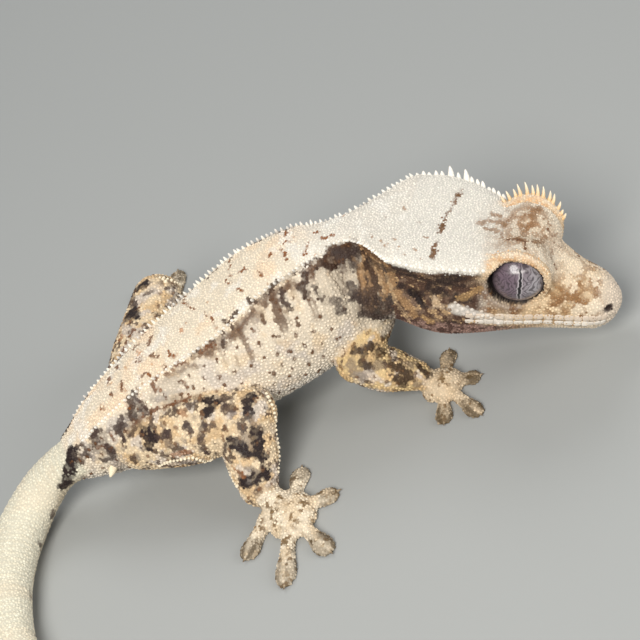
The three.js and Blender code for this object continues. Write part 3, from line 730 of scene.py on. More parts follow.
# Fillets, then the carved detail as moves along the surface's own normals

skin.points = skin.relax(skin.points, *FIRST_SMOOTHING)
fillet = np.where(is_head, FILLETS["head"], FILLETS["rest"]) * joint
skin.points = skin.relax(skin.points, fillet, FILLETS["times"])

# Depths and heights in millimetres of what is carved in or raised, and the gaps between folds
RELIEF = {"leather": 0.16, "mouth": 0.2, "nostril": 0.4, "ear": 0.55, "neck": 0.07, "flank": 0.05,
          "crest": 0.07, "tail": 0.03}
FOLD_GAPS = {"neck": 1.2, "flank": 1.3, "tail": 0.9}
NOSTRIL_RADIUS = 0.34
EAR_SLIT_SIZE = {"along": 1.15, "across": 0.42, "slope": (0.55, 0.83)}
MOUTH_HEIGHT, MOUTH_DROP, MOUTH_WIDTH = -8.1, 0.2, 0.17


def mouth_height(x):
    """Height of the mouth's line, which drops a little towards the snout."""
    return MOUTH_HEIGHT - (x - MOUTH_CORNER) / (HEAD_LENGTH - MOUTH_CORNER) * MOUTH_DROP


def carve():
    """How far each point moves outwards."""
    x, y, z = in_head_frame.T
    y = np.abs(y)
    p = skin.points
    move = np.full(len(p), -SKIN_SINK)
    move += (fractal(p, 2.4, 3) - 0.5) * RELIEF["leather"] * ~toes
    mouth = bell(z, mouth_height(x), MOUTH_WIDTH) * smooth(x, MOUTH_CORNER - 0.6, MOUTH_CORNER + 0.8)
    move -= RELIEF["mouth"] * mouth * is_head
    nostril = np.exp(-((x - NOSTRIL[0]) ** 2 + (z - NOSTRIL[2]) ** 2) / NOSTRIL_RADIUS**2) * (y > 1) * is_head
    move -= RELIEF["nostril"] * nostril
    level, steep = EAR_SLIT_SIZE["slope"]
    ear_along = ((x - EAR[0]) * level - (z - EAR[2]) * steep) / EAR_SLIT_SIZE["along"]
    ear_across = ((x - EAR[0]) * steep + (z - EAR[2]) * level) / EAR_SLIT_SIZE["across"]
    move -= RELIEF["ear"] * np.exp(-(ear_along**2 + ear_across**2)) * is_head * (y > 3)
    # folds of loose skin on the neck and behind the shoulder, and finer ones down the flank
    neck = is_trunk * smooth(along, 27.5, 31) * (1 - smooth(along, 38.5, 40)) * smooth(fold, 1.15, 1.9)
    swing = along + 0.55 * fold + 1.5 * fractal(p, 2.4, 11)
    move += RELIEF["neck"] * waves(swing, FOLD_GAPS["neck"]) * neck
    flank = is_trunk * smooth(fold, 1.3, 2) * (1 - smooth(fold, 4.5, 5.5)) * (1 - smooth(along, 27, 30))
    swing = along + 0.25 * fold + 1.6 * fractal(p, 2.6, 21)
    move += RELIEF["flank"] * waves(swing, FOLD_GAPS["flank"]) * flank
    # the two crest rows of the back stand on low ridges
    move += RELIEF["crest"] * bell(fold, 1, 0.14) * is_trunk
    return move + RELIEF["tail"] * waves(along, FOLD_GAPS["tail"]) * region("tail")


skin.points = skin.points + skin.normals() * carve()[:, None]

EYE_WIDTH = 3.35  # radius of the ball across the way it looks, where it fills the lids
EYE_SURROUND = 5.5  # how far from an eye's middle its skin is looked at
SOCKET_GAP = 0.2  # between the ball and the skin under it
LID_EDGE = {"from": 2.93, "to": 3.12, "middle": 3.05, "width": 0.17}  # distances from the axis of the rim


def open_eyes():
    """Presses the skin under the bare part of each eye, and gives the pressed points and the lid's edge."""
    inside, edge = np.zeros(len(skin.points), bool), np.zeros(len(skin.points))
    for side in (1, -1):
        flip = np.array([1, side, 1])
        offset = in_head(skin.points) * flip - EYE_CENTRE
        near = np.linalg.norm(offset, axis=1) < EYE_SURROUND
        height = offset @ RIM_OUT
        reach = np.linalg.norm(offset - height[:, None] * RIM_OUT, axis=1)
        ball = EYE_RADIUS * np.sqrt(np.maximum(1 - (reach / EYE_WIDTH) ** 2, 0.0)) - SOCKET_GAP
        floor = np.where(reach < EYE_WIDTH, np.minimum(ball, RIM_DEPTH + 1.2), RIM_DEPTH - SOCKET_GAP)
        press = near & (height > SOCKET_GAP) & (height > floor)
        weight = (1 - smooth(reach, LID_EDGE["from"], LID_EDGE["to"])) * press
        drop = (floor - height) * weight
        skin.points = skin.points + head_direction(RIM_OUT * flip) * drop[:, None]
        inside |= press & (weight > 0.5)
        edge = np.maximum(edge, near * (height > -0.5) * bell(reach, LID_EDGE["middle"], LID_EDGE["width"]))
    return inside, edge


under_eye, lid_edge = open_eyes()
skin.points = skin.relax(skin.points, LID_SMOOTHING[0] * lid_edge, LID_SMOOTHING[1])
LOWEST_SKIN = 0.03  # above the floor
skin.points[:, 2] = np.maximum(skin.points[:, 2], LOWEST_SKIN)
normals = skin.normals()
local = in_head(skin.points)

# Camera, which also places the markings that are measured in pixels of the 640 x 640 photograph

FRAME_SIZE = 640
CAMERA_PLACE = np.array([26.1, -191.9, 152.7])
CAMERA_ELEVATION, CAMERA_ROLL, FIELD_OF_VIEW = 37, 29, 17.88
FOCAL = FRAME_SIZE / 2 / math.tan(math.radians(FIELD_OF_VIEW / 2))


def camera_axes():
    el, roll = math.radians(CAMERA_ELEVATION), math.radians(CAMERA_ROLL)
    right, up = np.array([1, 0, 0]), np.array([0, math.sin(el), math.cos(el)])
    side = math.cos(roll) * right - math.sin(roll) * up
    top = math.sin(roll) * right + math.cos(roll) * up
    return side, top, np.array([0, -math.cos(el), math.sin(el)])


CAMERA_SIDE, CAMERA_TOP, CAMERA_BACK = camera_axes()
skin_tree = BVHTree.FromPolygons(skin.points.tolist(), skin.quads.tolist())


def under_pixels(pixels):
    """Points of the skin seen at pixels of the photograph. Pixels off the skin are left out."""
    found = []
    for x, y in pixels:
        ray = (x - FRAME_SIZE / 2) * CAMERA_SIDE - (y - FRAME_SIZE / 2) * CAMERA_TOP - FOCAL * CAMERA_BACK
        hit = skin_tree.ray_cast(Vector(CAMERA_PLACE), Vector(unit(ray)))
        if hit[0] is not None:
            found.append(hit[0][:])
    return np.array(found).reshape(-1, 3)


# Colours, written as they look on a screen


def tone(red, green, blue):
    """A colour from 0-255 screen values as the linear values that the shader takes."""
    c = np.array([red, green, blue]) / 255
    return np.where(c < 0.04045, c / 12.92, ((c + 0.055) / 1.055) ** 2.4)


IVORY = tone(223, 218, 207)
CREAM = tone(230, 217, 195)
PEACH = tone(236, 212, 182)
RUST = tone(150, 94, 48)
UMBER = tone(92, 60, 34)
COCOA = tone(60, 42, 34)
SLATE = tone(98, 86, 82)
BLACK = tone(36, 26, 24)
WHITE = tone(240, 236, 227)
TAIL_CREAM = tone(224, 219, 199)
ORANGE = tone(216, 160, 104)


def flat(colour, points):
    return np.broadcast_to(colour, points.shape).copy()


def lay(base, colour, amount):
    return base + (colour - base) * np.clip(amount, 0, 1)[:, None]


# Layers of spots: colour, size in millimetres, seed, levels of noise between which they fade in, and strength
FLANK_SPOTS = [(tone(210, 199, 186), 2.2, 43, 0.5, 0.64, 0.8), (tone(224, 196, 156), 2.6, 47, 0.5, 0.66, 0.5)]
REAR_SPOTS = [(SLATE, 1.6, 70, 0.46, 0.6, 0.55), (COCOA, 0.9, 71, 0.54, 0.62, 0.8)]
LIMB_SPOTS = [
    (tone(206, 172, 126), 1.5, 121, 0.48, 0.6, 0.7),
    (tone(206, 196, 186), 1.8, 127, 0.54, 0.66, 0.7),
    (SLATE, 1.4, 129, 0.58, 0.66, 0.6),
    (tone(70, 50, 40), 0.8, 131, 0.6, 0.66, 0.85),
]


def speckled(colours, points, layers, share=1.0):
    for colour, size, seed, low, high, strength in layers:
        colours = lay(colours, colour, spots(points, size, seed, low, high) * strength * share)
    return colours


def trunk_colours(p):
    s, f = along, fold
    row = f + 0.3 * (fractal(p, 1.1, 31) - 0.5)
    back = flat(CREAM, p)
    back = lay(back, PEACH, spots(p, 3.2, 41, 0.46, 0.66) * 0.8)
    back = lay(back, IVORY, smooth(s, 24, 33) * 0.9)
    back = lay(back, WHITE, spots(p, 1.6, 45, 0.55, 0.7) * 0.5)
    side = speckled(flat(tone(229, 215, 193), p), p, FLANK_SPOTS)
    side = lay(side, IVORY, smooth(f, 3.2, 4.8) * 0.5)
    # places on each side of the body in millimetres, drawn out from the back down to the belly
    drawn = np.column_stack([s + 0.35 * f, f * 1.1, np.where(around < 0.5, 0.0, 40.0)])
    # broken streaks run down from the crest row, strongest behind the shoulder
    streak = spots(drawn * [1 / 0.8, 1 / 1.5, 1], 1.0, 53, 0.55, 0.64)
    reach = 1 - smooth(f + 1.4 * (fractal(p, 2.4, 59) - 0.5), 1.4, 2.9)
    side = lay(side, UMBER, streak * reach * smooth(s, 10, 19) * 0.85)
    # the side of the neck is dark, with tan and grey showing through
    shoulder = smooth(s - 1.1 * (f - 2) + 2.4 * (fractal(p, 2.2, 69) - 0.5), 29.2, 31.4)
    shoulder = shoulder * (1 - smooth(f, 4.2, 5.4))
    neck = flat(tone(182, 144, 102), p)
    neck = lay(neck, tone(206, 190, 168), spots(drawn * [1, 1.9, 1], 1.1, 60, 0.5, 0.62))
    neck = lay(neck, tone(78, 54, 38), spots(drawn * [1, 1.5, 1], 1.3, 61, 0.42, 0.52))
    neck = lay(neck, BLACK, spots(drawn * [1, 1.8, 1], 2.6, 64, 0.5, 0.62) * 0.8)
    neck = lay(neck, COCOA, smooth(s, 34.5, 37) * 0.5)
    side = lay(side, neck, shoulder * np.interp(s, [29, 33], [0.75, 0.95]))
    # a painted shade just below each crest row, broken into spots
    under = bell(row, 1.28, 0.17) * spots(p, 1.4, 65, 0.36, 0.5) * smooth(s, 2, 14)
    side = lay(side, UMBER, under * 0.9)
    rear = (1 - smooth(s, 3, 11)) * smooth(f, 1.25, 1.7) * (1 - smooth(f, 4.2, 5))
    side = speckled(side, p, REAR_SPOTS, rear)
    return lay(side, back, 1 - smooth(row, 1.03, 1.14))


def crest_height(x):
    return np.interp(x, *np.array(HEAD_LINES["crest"])[:, [0, 2]].T)


def crown_colours(p, x, y):
    crown = bell(x, 13.4, 3.2) * bell(y, 1.5, 3.2)
    top = lay(flat(IVORY, p), CREAM, smooth(x, 10, 16) * 0.7)
    top = lay(top, tone(186, 160, 126), crown * 0.6)
    return lay(top, tone(146, 108, 72), spots(p, 0.6, 83, 0.47, 0.57) * crown * 0.9)


def temple_colours(p, z):
    """Dark brown, broken by gold and grey granules."""
    lower = smooth(-z, 5.2, 7.4)
    side = lay(flat(tone(86, 62, 48), p), tone(136, 112, 92), spots(p, 0.8, 85, 0.5, 0.6) * 0.7)
    side = lay(side, tone(190, 158, 118), smooth(fractal(p, 0.5, 89) + 0.09 * lower, 0.6, 0.7) * 0.85)
    return lay(side, tone(48, 35, 31), smooth(fractal(p, 1.7, 97) - 0.12 * lower, 0.46, 0.56) * 0.85)


def snout_colours(p, x, z):
    """Pale, mottled with brown below the brow."""
    below = smooth(-z, 2.6, 4.6) * (1 - smooth(x, 21, 23.4))
    mottle = spots(p, 0.75, 101, 0.5, 0.58) * (0.35 + 0.6 * below) * (1 - smooth(x, 22, 24.5))
    snout = flat(tone(226, 210, 186), p)
    snout = lay(snout, tone(220, 190, 148), bell(x, 16.2, 3.2) * smooth(-z, 1.5, 4) * 0.75)
    snout = lay(snout, tone(138, 98, 58), mottle)
    snout = lay(snout, tone(196, 166, 126), below * spots(p, 1.6, 102, 0.46, 0.6) * 0.7)
    return lay(snout, tone(204, 188, 172), smooth(x, 21.5, 24) * 0.6)


def lid_colours(colour, p, offset):
    """Lays the lids over the head's colours: orange over the eye, a painted shade below it, a fine edge, and
    a painted shadow in the socket inside the lid's edge.
    """
    height = offset @ RIM_OUT
    reach = np.linalg.norm(offset - height[:, None] * RIM_OUT, axis=1)
    ring = bell(reach, 3.6, 0.7) * (height > 0.5)
    warm = np.maximum(smooth(offset[:, 2], -1.2, 0.8), smooth(offset[:, 0], 0.3, 2.0))
    over = smooth(offset[:, 2], 0.2, 2.2)
    edge = bell(reach, 3.3, 0.13) * warm
    pale = bell(reach, 3.36, 0.08) * (height > RIM_DEPTH) * (1 - warm)
    colour = lay(colour, tone(224, 198, 162), ring * warm * 0.9)
    colour = lay(colour, ORANGE, ring * over * spots(p, 0.45, 113, 0.42, 0.58) * 0.6)
    colour = lay(colour, tone(128, 88, 52), edge * spots(p, 0.35, 117, 0.44, 0.54) * 0.8)
    # painted shade below and behind the eye
    colour = lay(colour, tone(112, 80, 54), ring * (1 - warm) * 0.7)
    colour = lay(colour, tone(186, 172, 160), pale * 0.6)
    # painted shadow: the socket inside the lid's edge is near black
    return lay(colour, tone(34, 25, 24), (1 - smooth(reach, 3.06, 3.18)) * (height > 0.3))


def head_colours(p):
    x, y, z = local.T
    y = np.abs(y)
    gap = crest_height(x) - z + 0.4 * (fractal(p, 0.8, 103) - 0.5)
    is_side = smooth(gap, 0.3, 0.7)
    is_temple = is_side * (1 - smooth(x + 0.8 * (fractal(p, 1.3, 104) - 0.5), 9.2, 10.6))
    front = np.maximum(is_side, smooth(x, 15, 18)) * smooth(x, 9.2, 10.8)
    colour = lay(crown_colours(p, x, y), temple_colours(p, z), is_temple)
    colour = lay(colour, snout_colours(p, x, z), front)
    throat = smooth(-z, 8.8, 9.6)
    jaw = lay(flat(tone(152, 122, 110), p), tone(84, 60, 52), spots(p, 0.7, 109, 0.46, 0.58))
    colour = lay(colour, jaw, throat * (1 - smooth(x, 10, 17) * 0.75))
    colour = lay(colour, CREAM, throat * smooth(x, 13, 19) * 0.8)
    colour = lid_colours(colour, p, np.column_stack([x, y, z]) - EYE_CENTRE)
    # painted shade inside the nostril
    nostril = (1 - smooth(np.hypot(x - NOSTRIL[0], z - NOSTRIL[2]), 0.32, 0.58)) * (y > 1)
    return lay(colour, tone(44, 28, 22), nostril)


def limb_colours(p):
    base = lay(flat(tone(228, 206, 172), p), tone(218, 190, 140), region("fore"))
    return speckled(base, p, LIMB_SPOTS)


def foot_colours(p):
    base = flat(tone(234, 219, 194), p)
    base = lay(base, tone(208, 180, 140), spots(p, 1.0, 141, 0.5, 0.64) * 0.5)
    base = lay(base, tone(206, 180, 144), region("fore") * 0.6)
    base = lay(base, tone(118, 88, 48), spots(p, 0.5, 149, 0.6, 0.66) * 0.85)
    tip = region("toe") * smooth(along + 0.5 * (fractal(p, 0.7, 150) - 0.5), 0.5, 0.76)
    streaks = spots(np.column_stack([around * 14, along * 1.5, owner]), 1.0, 153, 0.4, 0.56)
    return lay(base, tone(82, 66, 42), tip * (0.5 + 0.4 * streaks) * (1 - 0.6 * bell(around, 0.25, 0.035)))


def tail_colours(p):
    turn = around * 2 * math.pi
    base = lay(flat(TAIL_CREAM, p), PEACH, spots(p, 4, 151, 0.52, 0.7) * 0.2)
    base = lay(base, tone(214, 194, 158), (0.5 + 0.5 * waves(along, FOLD_GAPS["tail"])) * 0.2)
    base = lay(base, tone(196, 176, 146), smooth(-np.sin(turn), 0.1, 0.6) * 0.5)
    low = smooth(-np.sin(turn), -0.2, 0.2)
    blotch = spots(p, 1.7, 163, 0.56, 0.64) * low
    return lay(base, tone(70, 50, 40), blotch * (1 - smooth(along, 26, 50)) * 0.8)


def base_coat():
    p = skin.points
    coat = trunk_colours(p)
    for mask, paint in ((is_head, head_colours), (limb, limb_colours), (toes, foot_colours),
                        (region("tail"), tail_colours)):
        coat = np.where(mask[:, None], paint(p), coat)
    return skin.relax(coat, joint * 0.6 * ~is_head, 5)


coat = base_coat()

# Drawn markings: lines through pixels of the photograph, with their widths in millimetres


MARK_GAP = 1.0  # pixels between the points of a drawn line
MARK_REACH = 2.5  # how far from a line the skin may take its colour, in millimetres
FINE_MARK = 0.4  # marks narrower than this have more gaps
FAR_SHIFT = 0.4  # how far the marks of the hidden side are moved along it


def dense(pixels):
    """Points no further apart than MARK_GAP along a line."""
    line = np.asarray(pixels, float)
    length = run_along(line)[-1]
    return places_at(line, np.linspace(0, length, max(2, int(length / MARK_GAP) + 1)))


def across_the_body(points, shift=0.0):
    """The mirror image of points of the skin, found through the parts and moved along them a little."""
    own, s, q = guide.find(points)
    mirrored = []
    for index, place, turn in zip(own, s, q):
        name = NAMES[index]
        swapped = name.replace("right", "left") if "right" in name else name.replace("left", "right")
        part = BY_NAME[swapped]
        level = name == "body" or "palm" in name or "dome" in name or "rim" in name
        turn = 1 - turn if level else 0.5 - turn
        mirrored.append(part.at(np.array([place + shift]), np.array([turn]))[0])
    return np.array(mirrored)


def distance_to(line):
    """The skin's points near a line of dense points, and their distances from it."""
    low, high = line.min(0) - MARK_REACH, line.max(0) + MARK_REACH
    near = np.flatnonzero(((skin.points > low) & (skin.points < high)).all(1))
    tree = kd_tree(line)
    return near, np.array([tree.find(place)[2] for place in skin.points[near].tolist()])


def draw(line, colour, width, strength, raggedness):
    near, distance = distance_to(line)
    if not len(near):
        return
    p = skin.points[near]
    ragged = (fractal(p, 0.6, 211) - 0.5) * raggedness * (0.14 + 0.55 * width)
    edge = width / 2 + 0.1
    amount = 1 - smooth(distance + ragged, edge * 0.7, edge * 1.2)
    gaps = 0.65 if width < FINE_MARK else 0.25
    whole = 1 - gaps + gaps * spots(p, 0.55, 217, 0.36, 0.5)
    coat[near] = lay(coat[near], colour, amount * strength * whole)


def mark(pixel_lines, both_sides, colour, width, strength, raggedness):
    for pixels in pixel_lines:
        line = under_pixels(dense(pixels))
        if not len(line):
            continue
        draw(line, colour, width, strength, raggedness)
        if both_sides:
            draw(across_the_body(line, FAR_SHIFT), colour, width, strength, raggedness)


# The lines of each kind of mark, as pixels
RUMP_BLOTCHES = [
    [(92, 435), (101, 430)], [(120, 432), (123, 440)], [(72, 452), (81, 463)], [(77, 447), (83, 445)],
    [(128, 397), (132, 406), (128, 415)], [(208, 400), (213, 411)], [(223, 407), (226, 413)],
    [(166, 432), (170, 440)],
]
RUMP_LINES = [
    [(133, 426), (146, 414), (159, 409), (185, 400)],
    [(150, 355), (158, 357)], [(122, 383), (122, 390)], [(111, 392), (112, 395)], [(136, 359), (138, 361)],
    [(137, 387), (140, 401), (147, 410)], [(150, 410), (173, 405), (190, 397)], [(98, 448), (107, 445)],
    [(163, 366), (168, 375), (177, 365), (187, 362)], [(183, 381), (187, 388)], [(200, 353), (213, 343)],
    [(158, 375), (152, 384), (156, 392)], [(146, 372), (140, 378)], [(110, 434), (114, 440)],
]
BACK_SQUIGGLES = [
    [(238, 273), (244, 269), (251, 270)], [(258, 271), (263, 276)], [(237, 289), (242, 291)],
    [(225, 282), (233, 283)], [(229, 260), (230, 267)], [(229, 275), (230, 276)],
    [(280, 247), (283, 244), (287, 240), (291, 242)], [(280, 250), (285, 253), (286, 260)],
    [(308, 243), (306, 250), (304, 254)], [(270, 254), (270, 256)], [(316, 233), (319, 233)],
    [(321, 238), (327, 238)], [(328, 236), (334, 235)], [(285, 230), (286, 235)],
    [(183, 300), (188, 306), (193, 309), (195, 309)], [(204, 313), (207, 317)],
    [(211, 317), (214, 323), (216, 330)], [(158, 388), (161, 390)], [(121, 386), (124, 389)],
    [(110, 394), (113, 396)], [(100, 408), (104, 410)], [(71, 409), (68, 417)],
    [(168, 352), (172, 357), (176, 356)], [(146, 372), (150, 376)], [(128, 408), (133, 406)],
]
BACK_SPOTS = [[(181, 328), (181, 332)], [(137, 350), (140, 353)]]
# The broken dark line below the near crest row: a painted shadow of the row, drawn on both sides
ROW_SHADOW = [
    [(248, 298), (250, 302), (256, 302), (262, 298), (270, 291), (277, 282), (282, 281), (292, 274),
     (302, 266), (312, 262), (323, 258), (333, 254), (340, 251)],
    [(237, 312), (233, 318)], [(224, 320), (231, 324), (232, 328)],
    [(223, 332), (225, 336), (223, 345), (225, 347)],
    [(214, 340), (210, 344), (202, 347), (195, 352), (192, 356)],
    [(355, 241), (345, 247), (336, 255), (332, 268)],
]
FLANK_THICK = [
    [(281, 292), (282, 298), (285, 303), (290, 309)], [(305, 273), (306, 281), (301, 287), (305, 295)],
    [(314, 288), (320, 294), (326, 302)], [(318, 270), (325, 266), (331, 269), (339, 267)],
    [(345, 262), (352, 254), (362, 250)], [(350, 262), (358, 268), (366, 266)],
]
FLANK_THIN = [
    [(272, 298), (275, 305)], [(285, 310), (288, 319), (291, 324)], [(325, 289), (329, 297)],
    [(335, 257), (340, 261)], [(371, 259), (375, 270)], [(342, 300), (345, 311), (349, 318)],
    [(334, 296), (338, 302)], [(262, 316), (264, 322)], [(297, 318), (299, 325)],
]
NECK_PALE = [
    [(323, 276), (326, 292)], [(335, 276), (338, 290), (342, 302)], [(349, 267), (352, 286)],
    [(331, 304), (336, 318)], [(350, 300), (352, 314)], [(362, 322), (380, 326), (396, 330)],
]
NECK_TAN = [
    [(361, 266), (364, 284)], [(374, 260), (380, 274), (386, 290)], [(388, 267), (393, 284)],
    [(396, 292), (405, 304), (415, 315)],
]
NECK_BARK = [
    [(334, 252), (344, 256), (352, 250)], [(356, 246), (358, 258), (352, 264)], [(336, 300), (342, 311)],
    [(358, 296), (366, 304), (380, 300), (390, 308)], [(362, 312), (374, 316), (388, 318)],
    [(352, 286), (354, 296)],
]
NECK_FOLDS = [
    [(372, 262), (379, 276), (384, 292)], [(380, 262), (390, 284), (396, 304)], [(398, 304), (412, 326)],
]
UNDER_HEAD_CREST = [[(368, 259), (380, 266), (395, 272), (412, 276), (422, 279), (440, 283), (462, 286)]]
TEMPLE_GOLD = [[(460, 298), (481, 288)], [(436, 302), (438, 302)], [(424, 318), (430, 322)]]
TEMPLE_PALE = [[(436, 300), (439, 306)]]
# The ear opening, painted near black as the shade inside it
EAR_SLIT = [[(411, 291), (422, 302)]]
MOUTH_CORNER_LINE = [[(454, 309), (466, 313), (480, 317), (496, 320)]]
CROWN_LINE = [
    [(463, 190), (457, 198), (451, 209), (447, 214), (444, 224), (441, 233)],
    [(438, 240), (436, 243), (432, 250), (436, 252), (433, 259)],
]
CROWN_LINE_SPOTS = [
    [(458, 193), (455, 199)], [(451, 209), (448, 213)], [(443, 224), (439, 232)], [(434, 250), (431, 257)],
]
CROWN_TICKS = [
    [(384, 215), (386, 217)], [(370, 234), (372, 237)], [(380, 240), (382, 242)], [(385, 246), (387, 247)],
    [(393, 238), (395, 240)], [(398, 247), (400, 248)], [(414, 249), (416, 250)], [(403, 254), (405, 255)],
    [(420, 258), (422, 259)], [(403, 208), (405, 210)], [(418, 222), (420, 223)], [(425, 237), (427, 238)],
]
CROWN_BLOTCHES = [
    [(480, 224), (488, 220), (498, 222), (507, 226)], [(486, 229), (496, 231)], [(524, 217), (529, 216)],
    [(525, 227), (524, 235)], [(531, 207), (539, 208)], [(535, 209), (534, 216), (532, 225)],
    [(545, 239), (537, 243)], [(493, 214), (500, 216)],
]
CROWN_FINE = [
    [(509, 240), (516, 239), (527, 242)], [(525, 242), (525, 252)], [(547, 229), (551, 235)],
    [(560, 246), (562, 250)], [(575, 250), (578, 256)], [(553, 262), (556, 268)],
]
SNOUT_MOTTLES = [
    [(548, 290), (553, 296), (551, 303)], [(562, 288), (568, 294)], [(572, 300), (580, 297), (586, 302)],
    [(560, 306), (566, 311)], [(546, 310), (553, 314)], [(590, 288), (594, 294)], [(580, 284), (584, 288)],
]
LEG_DARK = [
    [(250, 397), (247, 408), (248, 415)], [(256, 432), (259, 441), (257, 453), (262, 456)],
    [(233, 444), (241, 446), (248, 453)], [(146, 432), (155, 438), (149, 446)],
    [(247, 482), (257, 478), (265, 473)],
    [(72, 463), (68, 478), (63, 487)], [(208, 400), (215, 404), (207, 412)], [(72, 452), (70, 460)],
]
LEG_MEDIUM = [
    [(95, 430), (92, 438), (97, 440)], [(121, 418), (118, 430), (124, 440)], [(158, 438), (169, 434)],
    [(224, 404), (233, 409)], [(225, 444), (224, 455), (230, 461)], [(133, 394), (140, 404), (146, 412)],
    [(207, 452), (201, 441)], [(205, 424), (201, 435)],
    [(186, 424), (190, 431)], [(238, 424), (243, 431)], [(107, 446), (113, 452)],
]
LEG_RUST = [[(172, 455), (189, 452)], [(180, 412), (186, 416)], [(236, 470), (243, 476)]]
ARM_DARK = [
    [(355, 350), (363, 352), (371, 346)], [(392, 364), (400, 368), (410, 376)], [(420, 367), (428, 374)],
    [(378, 356), (383, 351)], [(396, 380), (404, 384)], [(362, 362), (368, 366)],
]
FOOT_FLECKS = [
    [(280, 497), (283, 500)], [(295, 520), (298, 523)], [(302, 502), (304, 504)], [(272, 512), (276, 510)],
    [(284, 540), (287, 545)], [(312, 520), (316, 523)], [(262, 524), (259, 528)], [(441, 380), (446, 384)],
]
# Lines, whether the hidden side has them too, colour, width in millimetres, strength and raggedness
MARKS = [
    (BACK_SQUIGGLES, False, tone(136, 86, 46), 0.14, 1.0, 1.2),
    (BACK_SPOTS, False, tone(196, 132, 84), 0.35, 0.7, 0.9),
    # painted shadow below the crest rows
    (ROW_SHADOW, True, tone(70, 46, 30), 0.34, 0.92, 1.8),
    (FLANK_THICK, True, tone(62, 40, 26), 0.75, 0.95, 1.7),
    (FLANK_THIN, True, tone(92, 62, 38), 0.3, 0.9, 1.6),
    (NECK_PALE, True, tone(214, 200, 178), 1.5, 0.9, 1.5),
    (NECK_TAN, True, tone(172, 136, 96), 0.95, 0.85, 1.7),
    (NECK_BARK, True, tone(66, 52, 46), 1.0, 0.85, 1.9),
    (NECK_FOLDS, True, tone(198, 168, 130), 0.3, 0.7, 1.9),
    (UNDER_HEAD_CREST, True, tone(50, 36, 32), 0.9, 0.7, 1.4),
    (TEMPLE_GOLD, True, tone(182, 146, 98), 0.7, 0.75, 1.8),
    (TEMPLE_PALE, True, tone(214, 188, 156), 1.0, 0.8, 1.7),
    # painted shade inside the ear opening
    (EAR_SLIT, True, BLACK, 0.7, 0.95, 0.5),
    (MOUTH_CORNER_LINE, True, tone(220, 212, 201), 1.3, 0.95, 0.5),
    (CROWN_LINE, False, tone(118, 80, 48), 0.12, 0.95, 1.6),
    (CROWN_LINE_SPOTS, False, tone(112, 78, 46), 0.26, 0.95, 1.8),
    (CROWN_TICKS, False, tone(150, 108, 70), 0.1, 0.7, 0.9),
    (CROWN_BLOTCHES, False, tone(140, 104, 70), 0.6, 0.75, 1.8),
    (CROWN_FINE, False, tone(112, 76, 48), 0.1, 1.0, 1.0),
    (SNOUT_MOTTLES, True, tone(146, 108, 68), 0.55, 0.75, 1.9),
    (RUMP_BLOTCHES, True, tone(66, 44, 32), 0.5, 0.9, 1.9),
    (RUMP_LINES, True, tone(112, 72, 44), 0.26, 0.9, 1.8),
    (LEG_DARK, True, tone(42, 30, 28), 1.3, 1.0, 1.5),
    (LEG_MEDIUM, True, tone(72, 56, 50), 0.65, 0.9, 1.7),
    (LEG_RUST, True, RUST, 0.5, 0.65, 1.4),
    (ARM_DARK, True, tone(62, 44, 28), 0.85, 0.95, 1.8),
    (FOOT_FLECKS, True, tone(112, 84, 42), 0.35, 0.9, 1.6),
]
for row in MARKS:
    mark(*row)


def dots(wanted, spacing, width, length, colour, strength):
    """Scattered oval dots, drawn out across the direction that the body lies in."""
    order = rng.permutation(np.flatnonzero(wanted))
    tree = kd_tree(skin.points[order])
    free = np.ones(len(order), bool)
    for i, place in enumerate(skin.points[order].tolist()):
        if not free[i]:
            continue
        for _, other, _ in tree.find_range(place, spacing * rng.uniform(0.75, 1.35)):
            free[other] = other == i
        down = unit(np.cross(normals[order[i]], [1, 0, 0]) + rng.normal(0, 0.25, 3))
        long, wide = length * rng.uniform(0.6, 1.3), width * rng.uniform(0.7, 1.25)
        near = order[[other for _, other, _ in tree.find_range(place, long)]]
        offset = skin.points[near] - place
        drawn = offset @ down
        side = np.linalg.norm(offset - drawn[:, None] * down, axis=1)
        amount = 1 - smooth(np.hypot(drawn / long, side / wide), 0.55, 1.05)
        coat[near] = lay(coat[near], colour, amount * strength)


# Where, spacing, width, length, colour and strength
DOTS = [
    (is_trunk & (fold > 1.5) & (fold < 4.9) & (along < 27), 1.4, 0.24, 0.48, tone(96, 62, 34), 0.95),
    (is_trunk & (fold < 0.95) & (along > -3) & (along < 34), 2.4, 0.16, 0.28, tone(180, 130, 86), 0.6),
    (limb & region("hind"), 1.5, 0.26, 0.4, tone(112, 78, 50), 0.8),
    (limb & region("fore"), 1.3, 0.26, 0.36, tone(104, 74, 46), 0.8),
]
for row in DOTS:
    dots(*row)

# Pieces and materials

CAD_LOW, CAD_HIGH = (np.array(corner) for corner in CAD_BOX)


def new_piece(name, points, faces, material, colours):
    """A mesh object in the row frame from points in millimetres, with a colour for each point."""
    mesh = bpy.data.meshes.new(name)
    placed = np.clip(to_row(points), CAD_LOW, CAD_HIGH)
    mesh.from_pydata(placed.tolist(), [], faces if isinstance(faces, list) else faces.tolist())
    mesh.polygons.foreach_set("use_smooth", np.ones(len(mesh.polygons), bool))
    layer = mesh.color_attributes.new("coat", "FLOAT_COLOR", "POINT")
    layer.data.foreach_set("color", np.column_stack([colours, np.ones(len(colours))]).ravel())
    piece = bpy.data.objects.new(name, mesh)
    bpy.context.scene.collection.objects.link(piece)
    mesh.materials.append(material)
    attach(piece, "root")
    return piece


def set_inputs(node, values):
    for name, value in values.items():
        node.inputs[name].default_value = value


